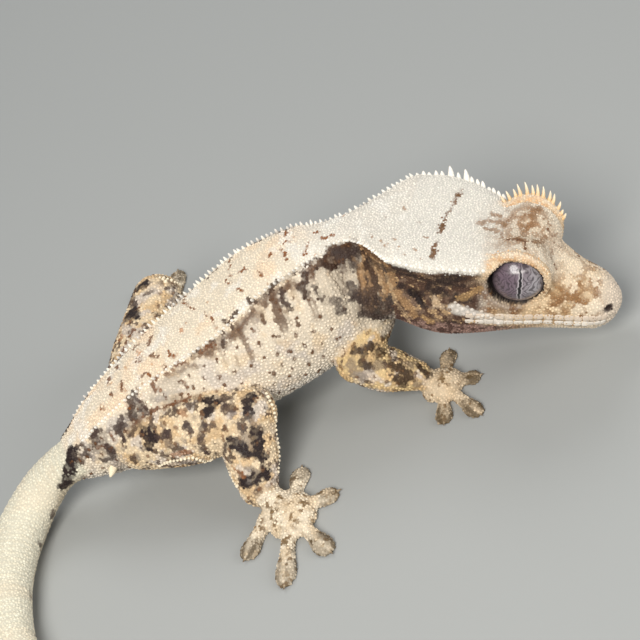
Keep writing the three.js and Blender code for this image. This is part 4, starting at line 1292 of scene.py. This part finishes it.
def painted_material(name, roughness, grain_scale, bump, coat_weight=0.0):
    """The piece's own colours with a fine grain in tone and relief."""
    material = bpy.data.materials.new(name)
    material.use_nodes = True
    tree = material.node_tree
    shader = tree.nodes["Principled BSDF"]
    kinds = ("Attribute", "TexCoord", "TexNoise", "MapRange", "Mix", "Bump")
    paint, place, grain, shade, mix, relief = (tree.nodes.new("ShaderNode" + kind) for kind in kinds)
    paint.attribute_name = "coat"
    mix.data_type, mix.blend_type = "RGBA", "MULTIPLY"
    set_inputs(grain, {"Scale": grain_scale, "Detail": 3})
    set_inputs(shade, {"From Min": 0.3, "From Max": 0.7, "To Min": 0.86, "To Max": 1.1})
    set_inputs(mix, {"Factor": 1})
    set_inputs(relief, {"Strength": bump, "Distance": GRAIN_DEPTH})
    set_inputs(shader, {"Roughness": roughness, "Specular IOR Level": 0.3, "Coat Weight": coat_weight,
                        "Coat Roughness": 0.12})
    links = [(place, "Object", grain, "Vector"), (grain, "Fac", shade, "Value"), (paint, "Color", mix, "A"),
             (shade, "Result", mix, "B"), (mix, "Result", shader, "Base Color"),
             (grain, "Fac", relief, "Height"), (relief, "Normal", shader, "Normal")]
    for source, output, target, entry in links:
        tree.links.new(source.outputs[output], target.inputs[entry])
    return material


GRAIN_DEPTH = 0.05 * MM
GAP_SHADE = 0.8  # the skin between the scales against their tops
hide = painted_material("hide", 0.62, 5200, 0.35)
skin_piece = new_piece("skin", skin.points, skin.quads, hide, coat * GAP_SHADE)
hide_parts(*[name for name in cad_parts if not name.startswith("eye")])

# Scales: candidates on the skin, thinned until none stand closer than their size

SCALE_TRIES = 6.0  # candidates for each scale's own area


def spread(values, corners, weights):
    """Values of the skin's points at places inside its quads."""
    picked = values[corners]
    return (picked * weights.reshape(weights.shape + (1,) * (picked.ndim - 2))).sum(1)


def scatter(size, wanted):
    """Places for scales at least the local size apart, as quads' corners, weights and sizes."""
    p = skin.points[skin.quads]
    area = np.linalg.norm(np.cross(p[:, 2] - p[:, 0], p[:, 3] - p[:, 1]), axis=1) / 2
    hope = wanted[skin.quads].all(1) * area / size[skin.quads].mean(1) ** 2 * SCALE_TRIES
    chosen = np.repeat(np.arange(len(hope)), rng.poisson(hope))
    rng.shuffle(chosen)
    u, v = rng.random((2, len(chosen)))
    weights = np.stack([(1 - u) * (1 - v), u * (1 - v), u * v, (1 - u) * v], axis=1)
    corners = skin.quads[chosen]
    places, sizes = spread(skin.points, corners, weights), spread(size, corners, weights)
    tree = kd_tree(places)
    free = np.ones(len(places), bool)
    for i, (place, reach) in enumerate(zip(places.tolist(), sizes.tolist())):
        if free[i]:
            for _, other, _ in tree.find_range(place, reach):
                free[other] = other == i
    return corners[free], weights[free], sizes[free]


BAKE_PATCH = 0.003  # width of a scale's or spine's patch in the baking map
GOLDEN_ANGLE = 2.399963


def bake_layer(mesh, places, corners_per_item):
    """Gives each item its own small patch at its root's place on the skin's unwrap."""
    layer = mesh.uv_layers.new(name="OFBake")
    turn = np.arange(corners_per_item) * GOLDEN_ANGLE
    offset = np.column_stack([np.cos(turn), np.sin(turn)]) * BAKE_PATCH / 2
    uv = places[:, None, :] + offset[None, :, :]
    loops = np.empty(len(mesh.loops), int)
    mesh.loops.foreach_get("vertex_index", loops)
    layer.data.foreach_set("uv", uv.reshape(-1, 2)[loops].ravel())


def unwrapped(own, s, q):
    """A place from 0 to 1 on an unwrap in tiles, one for each part, from the part, along and around."""
    columns = math.ceil(math.sqrt(len(PARTS)))
    tile = np.column_stack([own % columns, own // columns]) / columns
    first = np.array([part.places[0] for part in PARTS])
    length = np.array([part.places[-1] - part.places[0] for part in PARTS])
    place = np.column_stack([(s - first[own]) / length[own], q])
    return tile + (0.04 + 0.92 * np.clip(place, 0, 1)) / columns


UNWRAP = unwrapped(owner, along, around)


def frames_of(directions):
    """Two directions across each direction."""
    helper = np.where(np.abs(directions[:, 2:]) < 0.9, [[0.0, 0.0, 1.0]], [[1.0, 0.0, 0.0]])
    first = unit(np.cross(directions, helper))
    return first, np.cross(directions, first)


def stacked(rings, tops, paints, top_paint):
    """Items of rings one above another under a top point, as their joined points, faces and colours."""
    count, sides = rings[0].shape[:2]
    points = np.concatenate([*rings, tops[:, None]], axis=1)
    ring_paints = [np.repeat(paint[:, None], sides, axis=1) for paint in paints]
    paint = np.concatenate([*ring_paints, top_paint[:, None]], axis=1)
    base = np.arange(count)[:, None] * (len(rings) * sides + 1)
    here = np.arange(sides)
    onward = (here + 1) % sides
    faces = []
    for level in range(len(rings) - 1):
        low, high = base + level * sides, base + (level + 1) * sides
        faces += [(low + here, low + onward, high + onward), (low + here, high + onward, high + here)]
    last = base + (len(rings) - 1) * sides
    faces.append((last + here, last + onward, np.broadcast_to(base + len(rings) * sides, (count, sides))))
    faces = np.concatenate([np.stack(corners, axis=-1).reshape(-1, 3) for corners in faces])
    return points.reshape(-1, 3), faces, paint.reshape(-1, 3)


# The colour share is lower at the foot ring: a painted shade where each scale meets the skin
SCALE_RINGS = [(1.0, -0.4, 0.8), (0.62, 0.82, 1.0)]  # share of the radius, of the height, and of the colour


def bumps(places, directions, radii, heights, colours, sides):
    """Low domes: a ring sunk in the skin, a ring on the shoulder, and a middle."""
    first, second = frames_of(directions)
    a = turns(sides)[None, :] + rng.random(len(places))[:, None] * 2 * math.pi
    spokes = np.cos(a)[..., None] * first[:, None] + np.sin(a)[..., None] * second[:, None]
    rings = [places[:, None] + spokes * (radii * wide)[:, None, None]
             + (directions * (heights * high)[:, None])[:, None] for wide, high, _ in SCALE_RINGS]
    # painted shade: each dome is darker at its foot than at its top
    paints = [colours * shade for _, _, shade in SCALE_RINGS]
    return stacked(rings, places + directions * heights[:, None], paints, colours)


skin_points = kd_tree(skin.points)


def nearest_points(places):
    """The skin's point nearest to each place, as indices."""
    return np.array([skin_points.find(place)[1] for place in places.tolist()])


def coat_piece(name, material, roots, shape):
    """A piece of the coat from its items' roots and their joined points, faces and colours."""
    points, faces, paint = shape
    piece = new_piece(name, points, faces, material, np.clip(paint, 0, 1))
    bake_layer(piece.data, UNWRAP[nearest_points(roots)], len(points) // len(roots))


SCALE_RADIUS, SCALE_HEIGHT, TAIL_SCALE_HEIGHT = 0.6, 0.3, 0.2  # as shares of the scales' spacing
COLOUR_REACH = 0.13  # how far away a scale may take its one colour from, which frays the marks' edges


def scale_piece(name, wanted, size, height=SCALE_HEIGHT):
    """A coat of small scales on the wanted points of the skin, each of one colour."""
    corners, weights, sizes = scatter(size, wanted & ~no_scales)
    places = spread(skin.points, corners, weights)
    directions = unit(spread(normals, corners, weights))
    colours = coat[nearest_points(places + rng.normal(0, COLOUR_REACH, places.shape))]
    colours = colours * (1 + rng.normal(0, 0.07, (len(places), 1)))
    grow = 1 + rng.normal(0, 0.06, len(places))
    # each scale is painted darker towards its foot, as shade
    shape = bumps(places, directions, sizes * SCALE_RADIUS * grow, sizes * height * grow, colours, sides=5)
    coat_piece(name, granular, places, shape)


granular = painted_material("scales", 0.68, 9000, 0.2)
in_nostril = (np.hypot(local[:, 0] - NOSTRIL[0], local[:, 2] - NOSTRIL[2]) < 0.4) & (np.abs(local[:, 1]) > 1)
no_scales = under_eye | (skin.points[:, 2] < 0.08) | (in_nostril & is_head)
# Spacing of the scales in millimetres
SIZES = {"head_top": 0.25, "head_side": 0.29, "back": 0.29, "flank": 0.36, "limb": 0.36, "foot": 0.31,
         "tail": 0.31, "mouth_corner": 0.5}
MOUTH_CORNER_REACH = 0.85  # of the larger scales, from the line they stand along
head_size = np.where(local[:, 2] < -3.0, SIZES["head_side"], SIZES["head_top"])
corner_line = under_pixels(dense(MOUTH_CORNER_LINE[0]))
for line in (corner_line, across_the_body(corner_line, FAR_SHIFT)):
    near, distance = distance_to(line)
    head_size[near] = np.where(distance < MOUTH_CORNER_REACH, SIZES["mouth_corner"], head_size[near])
head_size = skin.relax(head_size, 0.8, 3)
trunk_size = SIZES["back"] + (SIZES["flank"] - SIZES["back"]) * smooth(fold, 0.9, 1.5)
flank, left_side = is_trunk & (fold > 1), around < 0.5
even = {area: np.full(len(owner), SIZES[area]) for area in ("limb", "foot", "tail")}
scale_piece("scales_head", is_head, head_size)
scale_piece("scales_back", is_trunk & (fold < 1.15), trunk_size)
scale_piece("scales_left_flank", flank & left_side, trunk_size)
scale_piece("scales_right_flank", flank & ~left_side, trunk_size)
scale_piece("scales_fore_limbs", limb & region("fore"), even["limb"])
scale_piece("scales_hind_limbs", limb & region("hind"), even["limb"])
scale_piece("scales_feet", toes, even["foot"])
scale_piece("scales_tail", region("tail"), even["tail"], TAIL_SCALE_HEIGHT)

# Spines: bent tapered tubes with a rounded root

# Share of the length, and of the radius
SPINE_PROFILE = [(-0.25, 1.05), (0.05, 1.0), (0.4, 0.8), (0.75, 0.5), (0.94, 0.24)]


def spines(roots, directions, bends, lengths, radii, colours, tip_colours, sides=6):
    first, second = frames_of(directions)
    a = turns(sides)[None, :, None]
    spokes = np.cos(a) * first[:, None] + np.sin(a) * second[:, None]
    rings, paints = [], []
    for share, width in SPINE_PROFILE:
        up = max(share, 0.0)
        centre = roots + directions * (lengths * share)[:, None] + bends * (lengths * up**2 * 0.5)[:, None]
        rings.append(centre[:, None] + spokes * (radii * width)[:, None, None])
        paints.append(colours + (tip_colours - colours) * up)
    tips = roots + directions * lengths[:, None] + bends * (lengths * 0.5)[:, None]
    return stacked(rings, tips, paints, tip_colours)


def snap(places):
    """Moves places onto the skin, and gives the skin's direction there."""
    hits = [skin_tree.find_nearest(place) for place in np.asarray(places).tolist()]
    return np.array([hit[0][:] for hit in hits]), np.array([hit[1][:] for hit in hits])


horn = painted_material("horn", 0.45, 6000, 0.1)
CREST_SPACING, CREST_LENGTH, CREST_RADIUS = 0.64, 0.5, 0.23
HEAD_CREST_SPACING = 0.68
TALL_SPINES, TALL_REACH = (3.3, 5.1), 0.3  # their places along the head, near its corner
LASHES = 15  # over each eye
NEAR_FULLNESS = 0.5  # the spines of the animal's right side are worn shorter


def add_back_crests():
    """The small white spines of the back's two rows, from the vent to the corners of the head."""
    rows = []
    places = np.arange(-5.0, HEAD_START + 0.6, 0.05)
    for side, place_around in ((1, 1 / 12), (-1, 11 / 12)):
        line = BODY.at(places, np.full(len(places), place_around))
        at = np.arange(0.3, run_along(line)[-1], CREST_SPACING)
        at = at + rng.normal(0, 0.06, len(at))
        root, normal = snap(places_at(line, at))
        length = CREST_LENGTH * (1 + rng.normal(0, 0.16, len(at)))
        length *= 0.75 + 0.25 * smooth(np.interp(at, run_along(line), places), 0, 10)
        rows.append((root, unit(normal + [-0.25, side * 0.25, 0.25]), length))
    roots, outs, lengths = joined(rows)
    root_colour = coat[nearest_points(roots)]
    white = flat(tone(242, 237, 226), roots)
    coat_piece("crest_spines", horn, roots,
               spines(roots, outs, outs * 0, lengths, np.full(len(roots), CREST_RADIUS),
                      root_colour + (white - root_colour) * 0.35, white))


def add_head_crest():
    """Spines along the head's crest, with tall ones near the corner."""
    rows = []
    for side, fullness in ((1, 1.0), (-1, NEAR_FULLNESS)):
        x = np.concatenate([np.arange(0.2, 2.9, HEAD_CREST_SPACING), [TALL_SPINES[0], 4.2, TALL_SPINES[1]],
                            np.arange(5.8, 9.9, HEAD_CREST_SPACING)])
        x = x + rng.normal(0, 0.05, len(x))
        y, z = HEAD_AT["crest"](x).T
        tall = np.maximum(*(bell(x, place, TALL_REACH) for place in TALL_SPINES))
        length = 0.48 + 0.6 * tall + rng.normal(0, 0.08, len(x)) + 0.2 * bell(x, 5.4, 2.6)
        root = on_head(np.column_stack([x, side * (y - 0.12), z]))
        out = head_direction(flat([-0.12, side * 0.75, 0.7], root))
        rows.append((root, out, length * fullness, (0.32 + 0.12 * tall) * math.sqrt(fullness)))
    roots, outs, lengths, radii = joined(rows)
    white = flat(tone(244, 238, 226), roots)
    bend = flat(head_direction([-0.6, 0, 0.2]), roots) * 0.4
    coat_piece("head_crest_spines", horn, roots,
               spines(roots, outs, bend, lengths, radii, white * 0.93, white))


def add_lashes():
    """Curved thorns along the rim over each eye, from its front to its back."""
    rows = []
    for side, fullness in ((1, 1.0), (-1, NEAR_FULLNESS * 0.6)):
        angle = np.radians(np.linspace(24, 162, LASHES) + rng.normal(0, 1.8, LASHES))
        rise = np.maximum(np.sin(angle), 0)
        root = on_head(rim_place(side, angle, RIM["radius"] + RIM["upper"] * 0.55, 0.1))
        out = np.column_stack([np.cos(angle) * 0.75, np.full(LASHES, side * 0.55), np.sin(angle)])
        length = fullness * (0.5 + 0.66 * rise) * (1 + rng.normal(0, 0.16, LASHES))
        bend = flat(head_direction([-0.7, 0, 0.6]), out) * 0.75
        rows.append((root, head_direction(out), bend, length, np.full(LASHES, 0.27 * fullness**0.4)))
    roots, outs, bends, lengths, radii = joined(rows)
    amber, ivory = (flat(tone(*shade), roots) for shade in ((220, 180, 126), (238, 226, 200)))
    coat_piece("lashes", horn, roots, spines(roots, outs, bends, lengths, radii, amber, ivory))


add_back_crests()
add_head_crest()
add_lashes()

# Claws, at the tips of the toes

CLAW = {"length": 0.68, "radius": 0.17, "height": 0.34, "inset": 0.15, "rise": 0.3, "droop": 0.5,
        "lowest": 0.02}


def add_claws():
    rows = []
    for limb_sizes in LIMBS.values():
        foot = limb_sizes["foot"]
        for toe in foot["toes"]:
            tip, root = np.array([*toe[:2], 0.0]), np.array([*(toe[2:] or foot["palm"]), 0.0])
            axis = unit(tip - root)
            rows.append(([tip - axis * CLAW["inset"] + [0, 0, CLAW["height"] * foot["scale"]]],
                         [unit(axis + [0, 0, CLAW["rise"]])], [foot["scale"]]))
    roots, outs, scales = joined(rows)
    pale, dark = (flat(tone(*shade), roots) for shade in ((176, 158, 130), (96, 78, 60)))
    points, faces, paint = spines(roots, outs, flat([0, 0, -CLAW["droop"]], roots), CLAW["length"] * scales,
                                  CLAW["radius"] * scales, pale, dark, sides=8)
    points[:, 2] = np.maximum(points[:, 2], CLAW["lowest"])
    new_piece("claws", points, faces, painted_material("claw horn", 0.3, 6000, 0.05), paint)


add_claws()

# Eyes: a ball whose iris, veins, rim and slit are painted round the axis that it looks along, with a painted
# shade towards the edge of the iris and a painted reflection of the lamp


# Half the length of the open slit between two shares of the ball's radius, half its width in millimetres and
# how much wider it is in the middle
SLIT_ENDS, SLIT_WIDTH, SLIT_SWELL = (0.56, 0.7), 0.07, 0.06
IRIS_SHADE, IRIS_RIM = (2.2, 2.6), (2.62, 2.76)  # distances from the middle between which they darken


def eye_paint(front, across, up):
    """Iris colours from places on the ball, in its own radius: front along the look, across and up."""
    p = np.column_stack([front, across, up]) * EYE_RADIUS
    reach = np.hypot(across, up) * EYE_RADIUS
    warp = fractal(p, 1.3, 201) - 0.5
    waves = np.sin((np.abs(across) * 1.3 + up * 0.3 + warp * 1.5) * 30)
    base = lay(flat(tone(106, 90, 100), p), tone(158, 153, 156), smooth(across + 0.5 * warp, -0.25, 0.6))
    colour = lay(base, tone(92, 80, 86), spots(p, 0.8, 203, 0.45, 0.62) * 0.5)
    colour = lay(colour, tone(50, 41, 46), smooth(waves, 0.3, 0.85) * 0.75)
    centre = 0.03 * np.sin(up * 3.3) + 0.012 * np.sin(up * 21) + 0.008 * np.sin(up * 43 + 1)
    slit = np.abs(across - centre) * EYE_RADIUS
    open_length = 1 - smooth(np.abs(up + 0.02), *SLIT_ENDS)
    width = SLIT_WIDTH + SLIT_SWELL * bell(up, -0.1, 0.35)
    # pale edges of the slit: the pupil's own pale margin, with the painted reflection's bright stem along it
    colour = lay(colour, tone(200, 194, 194), bell(slit, width + 0.09, 0.05) * open_length * 0.7)
    # painted reflection of the lamp: a thin pale bar across the upper iris
    glint = bell(up - 0.12 * across, 0.5, 0.035) * bell(across, -0.02, 0.22)
    colour = lay(colour, tone(214, 208, 206), glint * 0.8)
    colour = lay(colour, tone(8, 6, 8), (1 - smooth(slit, width - 0.03, width + 0.05)) * open_length)
    # painted shade towards the edge of the iris
    colour = lay(colour, tone(52, 44, 48), smooth(reach, *IRIS_SHADE) * 0.6)
    return lay(colour, tone(18, 13, 15), smooth(reach, *IRIS_RIM))


EYE_UP = [-0.06, 0, 1]  # the way the slit stands
EYE_LOOK = (0.2, 1.0, 0.05)  # the way the left eye looks
EYE_GRID = {"rings": 90, "sides": 128, "share": 0.62}  # share of the ball from its front to its back


def eye(side, name, node):
    look = unit(np.array(EYE_LOOK) * [1, side, 1])
    lift = unit(np.cross(look, np.cross(EYE_UP, look)))
    beside = np.cross(lift, look)
    rings, sides = EYE_GRID["rings"], EYE_GRID["sides"]
    polar = np.linspace(0, math.pi * EYE_GRID["share"], rings)
    front = np.repeat(np.cos(polar), sides)
    across, up = ((np.sin(polar)[:, None] * of(turns(sides))).ravel() for of in (np.cos, np.sin))
    sideways = (across[:, None] * beside + up[:, None] * lift) * EYE_WIDTH / EYE_RADIUS
    points = on_head(EYE_CENTRE * [1, side, 1] + EYE_RADIUS * (front[:, None] * look + sideways))
    # the first ring is one point, so its others are left out
    used = np.ones(len(points), bool)
    used[1:sides] = False
    grid = (np.cumsum(used) - 1).reshape(rings, sides)
    nxt = np.roll(grid, -1, axis=1)
    faces = np.stack([grid[1:-1], grid[2:], nxt[2:], nxt[1:-1]], axis=-1).reshape(-1, 4).tolist()
    faces += [[0, int(grid[1, i]), int(nxt[1, i])] for i in range(sides)]
    piece = new_piece(name, points[used], faces, wet, eye_paint(front, -side * across, up)[used])
    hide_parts(node)


wet = painted_material("wet eye", 0.35, 9000, 0.02, coat_weight=0.6)
eye(1, "iris_left", "eye_left")
eye(-1, "iris_right", "eye_right")

# Scutes of the lips, the fringe of the hind legs and the spurs

# Share of the size, of the height, and of the colour; the lower colour shares at the foot are a painted shade
# between the scutes
PLATE_RINGS = [(1, -0.8, 0.8), (0.97, 0.25, 0.93), (0.8, 0.8, 1.0), (0.4, 1.0, 1.0)]
PLATE_LIFT = 0.07


def plates(places, outward, forward, half_length, half_height, colours, sides=14):
    """Rounded rectangular plates: a foot ring, a shoulder ring and a low top."""
    outward = unit(outward)
    forward = unit(forward - outward * (forward * outward).sum(1)[:, None])
    upward = np.cross(outward, forward)
    a = turns(sides)
    across, high = (np.sign(v) * np.abs(v) ** 0.6 for v in (np.cos(a), np.sin(a)))
    rings = []
    for share, height, _ in PLATE_RINGS:
        flatly = (forward[:, None] * (across * share)[None, :, None] * half_length[:, None, None]
                  + upward[:, None] * (high * share)[None, :, None] * half_height[:, None, None])
        rings.append(places[:, None] + flatly + outward[:, None] * PLATE_LIFT * height)
    # painted shade: each plate is darker at its foot than at its top
    paints = [colours * shade for _, _, shade in PLATE_RINGS]
    return stacked(rings, places + outward * PLATE_LIFT, paints, colours)


# Height over the mouth's line, half height and the two colours that the scutes mix
LIP_SCUTES = [(0.5, 0.44, tone(206, 188, 168), tone(214, 198, 180)),
              (-0.66, 0.38, tone(216, 206, 192), tone(228, 220, 208))]
SCUTE_EDGES = np.concatenate([np.linspace(8.2, 20, 12), np.linspace(20.9, 24.0, 5)])  # places along the head


def add_lip_scutes():
    rows = []
    x = (SCUTE_EDGES[1:] + SCUTE_EDGES[:-1]) / 2
    y = np.interp(x, [7, 13, 18, 22, 24.2], [7.5, 6.3, 5.1, 4.4, 3.2])
    for side in (1, -1):
        for rise, half_height, dim, bright in LIP_SCUTES:
            middle, normal = snap(on_head(np.column_stack([x, side * y, mouth_height(x) + rise])))
            forward = flat(head_direction([1, 0, -0.01]), middle)
            height = half_height * np.interp(x, [8, 12, 24], [0.8, 1, 0.92])
            mix = rng.random(len(x))[:, None]
            colour = dim * (1 - mix) + bright * mix
            rows.append((middle, normal, forward, np.diff(SCUTE_EDGES) * 0.51, height, colour))
    shape = joined(rows)
    coat_piece("lip_scutes", granular, shape[0], plates(*shape))


FRINGE_LINES = [
    [(160, 465), (170, 461), (193, 457), (205, 461), (224, 472), (238, 486)],
    [(266, 394), (273, 408), (277, 430), (279, 455), (277, 476)],
]
FRINGE_SPACING, FRINGE_RADIUS = 0.5, 0.24
SPUR_PIXEL, SPUR_LENGTH, SPUR_RADIUS = (113, 468), 1.0, 0.55


def add_fringe():
    """Larger pale scales along the fold of each hind leg."""
    places = []
    for pixels in FRINGE_LINES:
        line = under_pixels(dense(pixels))
        for either in (line, across_the_body(line)):
            places.append(places_at(either, np.arange(0, run_along(either)[-1], FRINGE_SPACING)))
    places, outs = snap(np.vstack(places))
    radii = FRINGE_RADIUS * (1 + rng.normal(0, 0.1, len(places)))
    cream = flat(tone(240, 226, 198), places)
    coat_piece("fringe", granular, places,
               bumps(places, unit(outs), radii, radii * 1.1, cream, sides=8))


def add_spurs():
    """The blunt spur on each side of the vent."""
    near = snap(under_pixels([SPUR_PIXEL]))[0]
    roots, outs = snap(np.vstack([near, across_the_body(near)]))
    cream, down = flat(tone(240, 226, 196), roots), flat([-0.6, 0, -0.2], roots)
    lengths, radii = np.full(2, SPUR_LENGTH), np.full(2, SPUR_RADIUS)
    coat_piece("spurs", granular, roots,
               spines(roots, unit(outs), down, lengths, radii, cream, cream, sides=12))


add_lip_scutes()
add_fringe()
add_spurs()

# Stage and light


def set_camera():
    camera = bpy.data.objects.new("camera", bpy.data.cameras.new("camera"))
    camera.data.sensor_fit = "HORIZONTAL"
    camera.data.angle = math.radians(FIELD_OF_VIEW)
    camera.data.clip_start, camera.data.clip_end = 0.01, 20
    turn = Matrix(np.column_stack([CAMERA_SIDE, CAMERA_TOP, CAMERA_BACK]).tolist()).to_4x4()
    camera.matrix_world = Matrix.Translation(Vector(to_row(CAMERA_PLACE))) @ turn
    bpy.context.scene.collection.objects.link(camera)
    bpy.context.scene.camera = camera


FLOOR_REACH, FLOOR_COLOUR, FLOOR_ROUGHNESS = 1.5, (0.34, 0.35, 0.34, 1), 0.7
SKY_COLOUR, SKY_STRENGTH = (0.92, 0.95, 1, 1), 0.26
# Name, place and size in metres, power in watts, and colour
LIGHTS = [
    ("key", (-0.12, -0.28, 0.3), 0.22, 1.92, (1, 0.97, 0.93)),
    ("fill", (0.32, -0.16, 0.14), 0.3, 0.75, (1, 1, 1)),
    ("rim", (0.02, 0.26, 0.3), 0.2, 0.45, (1, 1, 1)),
]


def area_light(name, place, size, power, colour):
    lamp = bpy.data.lights.new(name, "AREA")
    lamp.shape, lamp.size, lamp.energy, lamp.color = "DISK", size, power, colour
    light = bpy.data.objects.new(name, lamp)
    light.location = place
    light.rotation_euler = (-Vector(place)).to_track_quat("-Z", "Y").to_euler()
    bpy.context.scene.collection.objects.link(light)


def set_stage():
    mesh = bpy.data.meshes.new("floor")
    corners = [(x * FLOOR_REACH, y * FLOOR_REACH, 0) for x, y in ((-1, -1), (1, -1), (1, 1), (-1, 1))]
    mesh.from_pydata(corners, [], [(0, 1, 2, 3)])
    floor = bpy.data.objects.new("floor", mesh)
    bpy.context.scene.collection.objects.link(floor)
    material = bpy.data.materials.new("floor")
    material.use_nodes = True
    set_inputs(material.node_tree.nodes["Principled BSDF"],
               {"Base Color": FLOOR_COLOUR, "Roughness": FLOOR_ROUGHNESS})
    mesh.materials.append(material)
    world = bpy.data.worlds.new("world")
    world.use_nodes = True
    set_inputs(world.node_tree.nodes["Background"], {"Color": SKY_COLOUR, "Strength": SKY_STRENGTH})
    bpy.context.scene.world = world
    for light in LIGHTS:
        area_light(*light)


set_camera()
set_stage()
bpy.context.scene.view_settings.view_transform = "Standard"
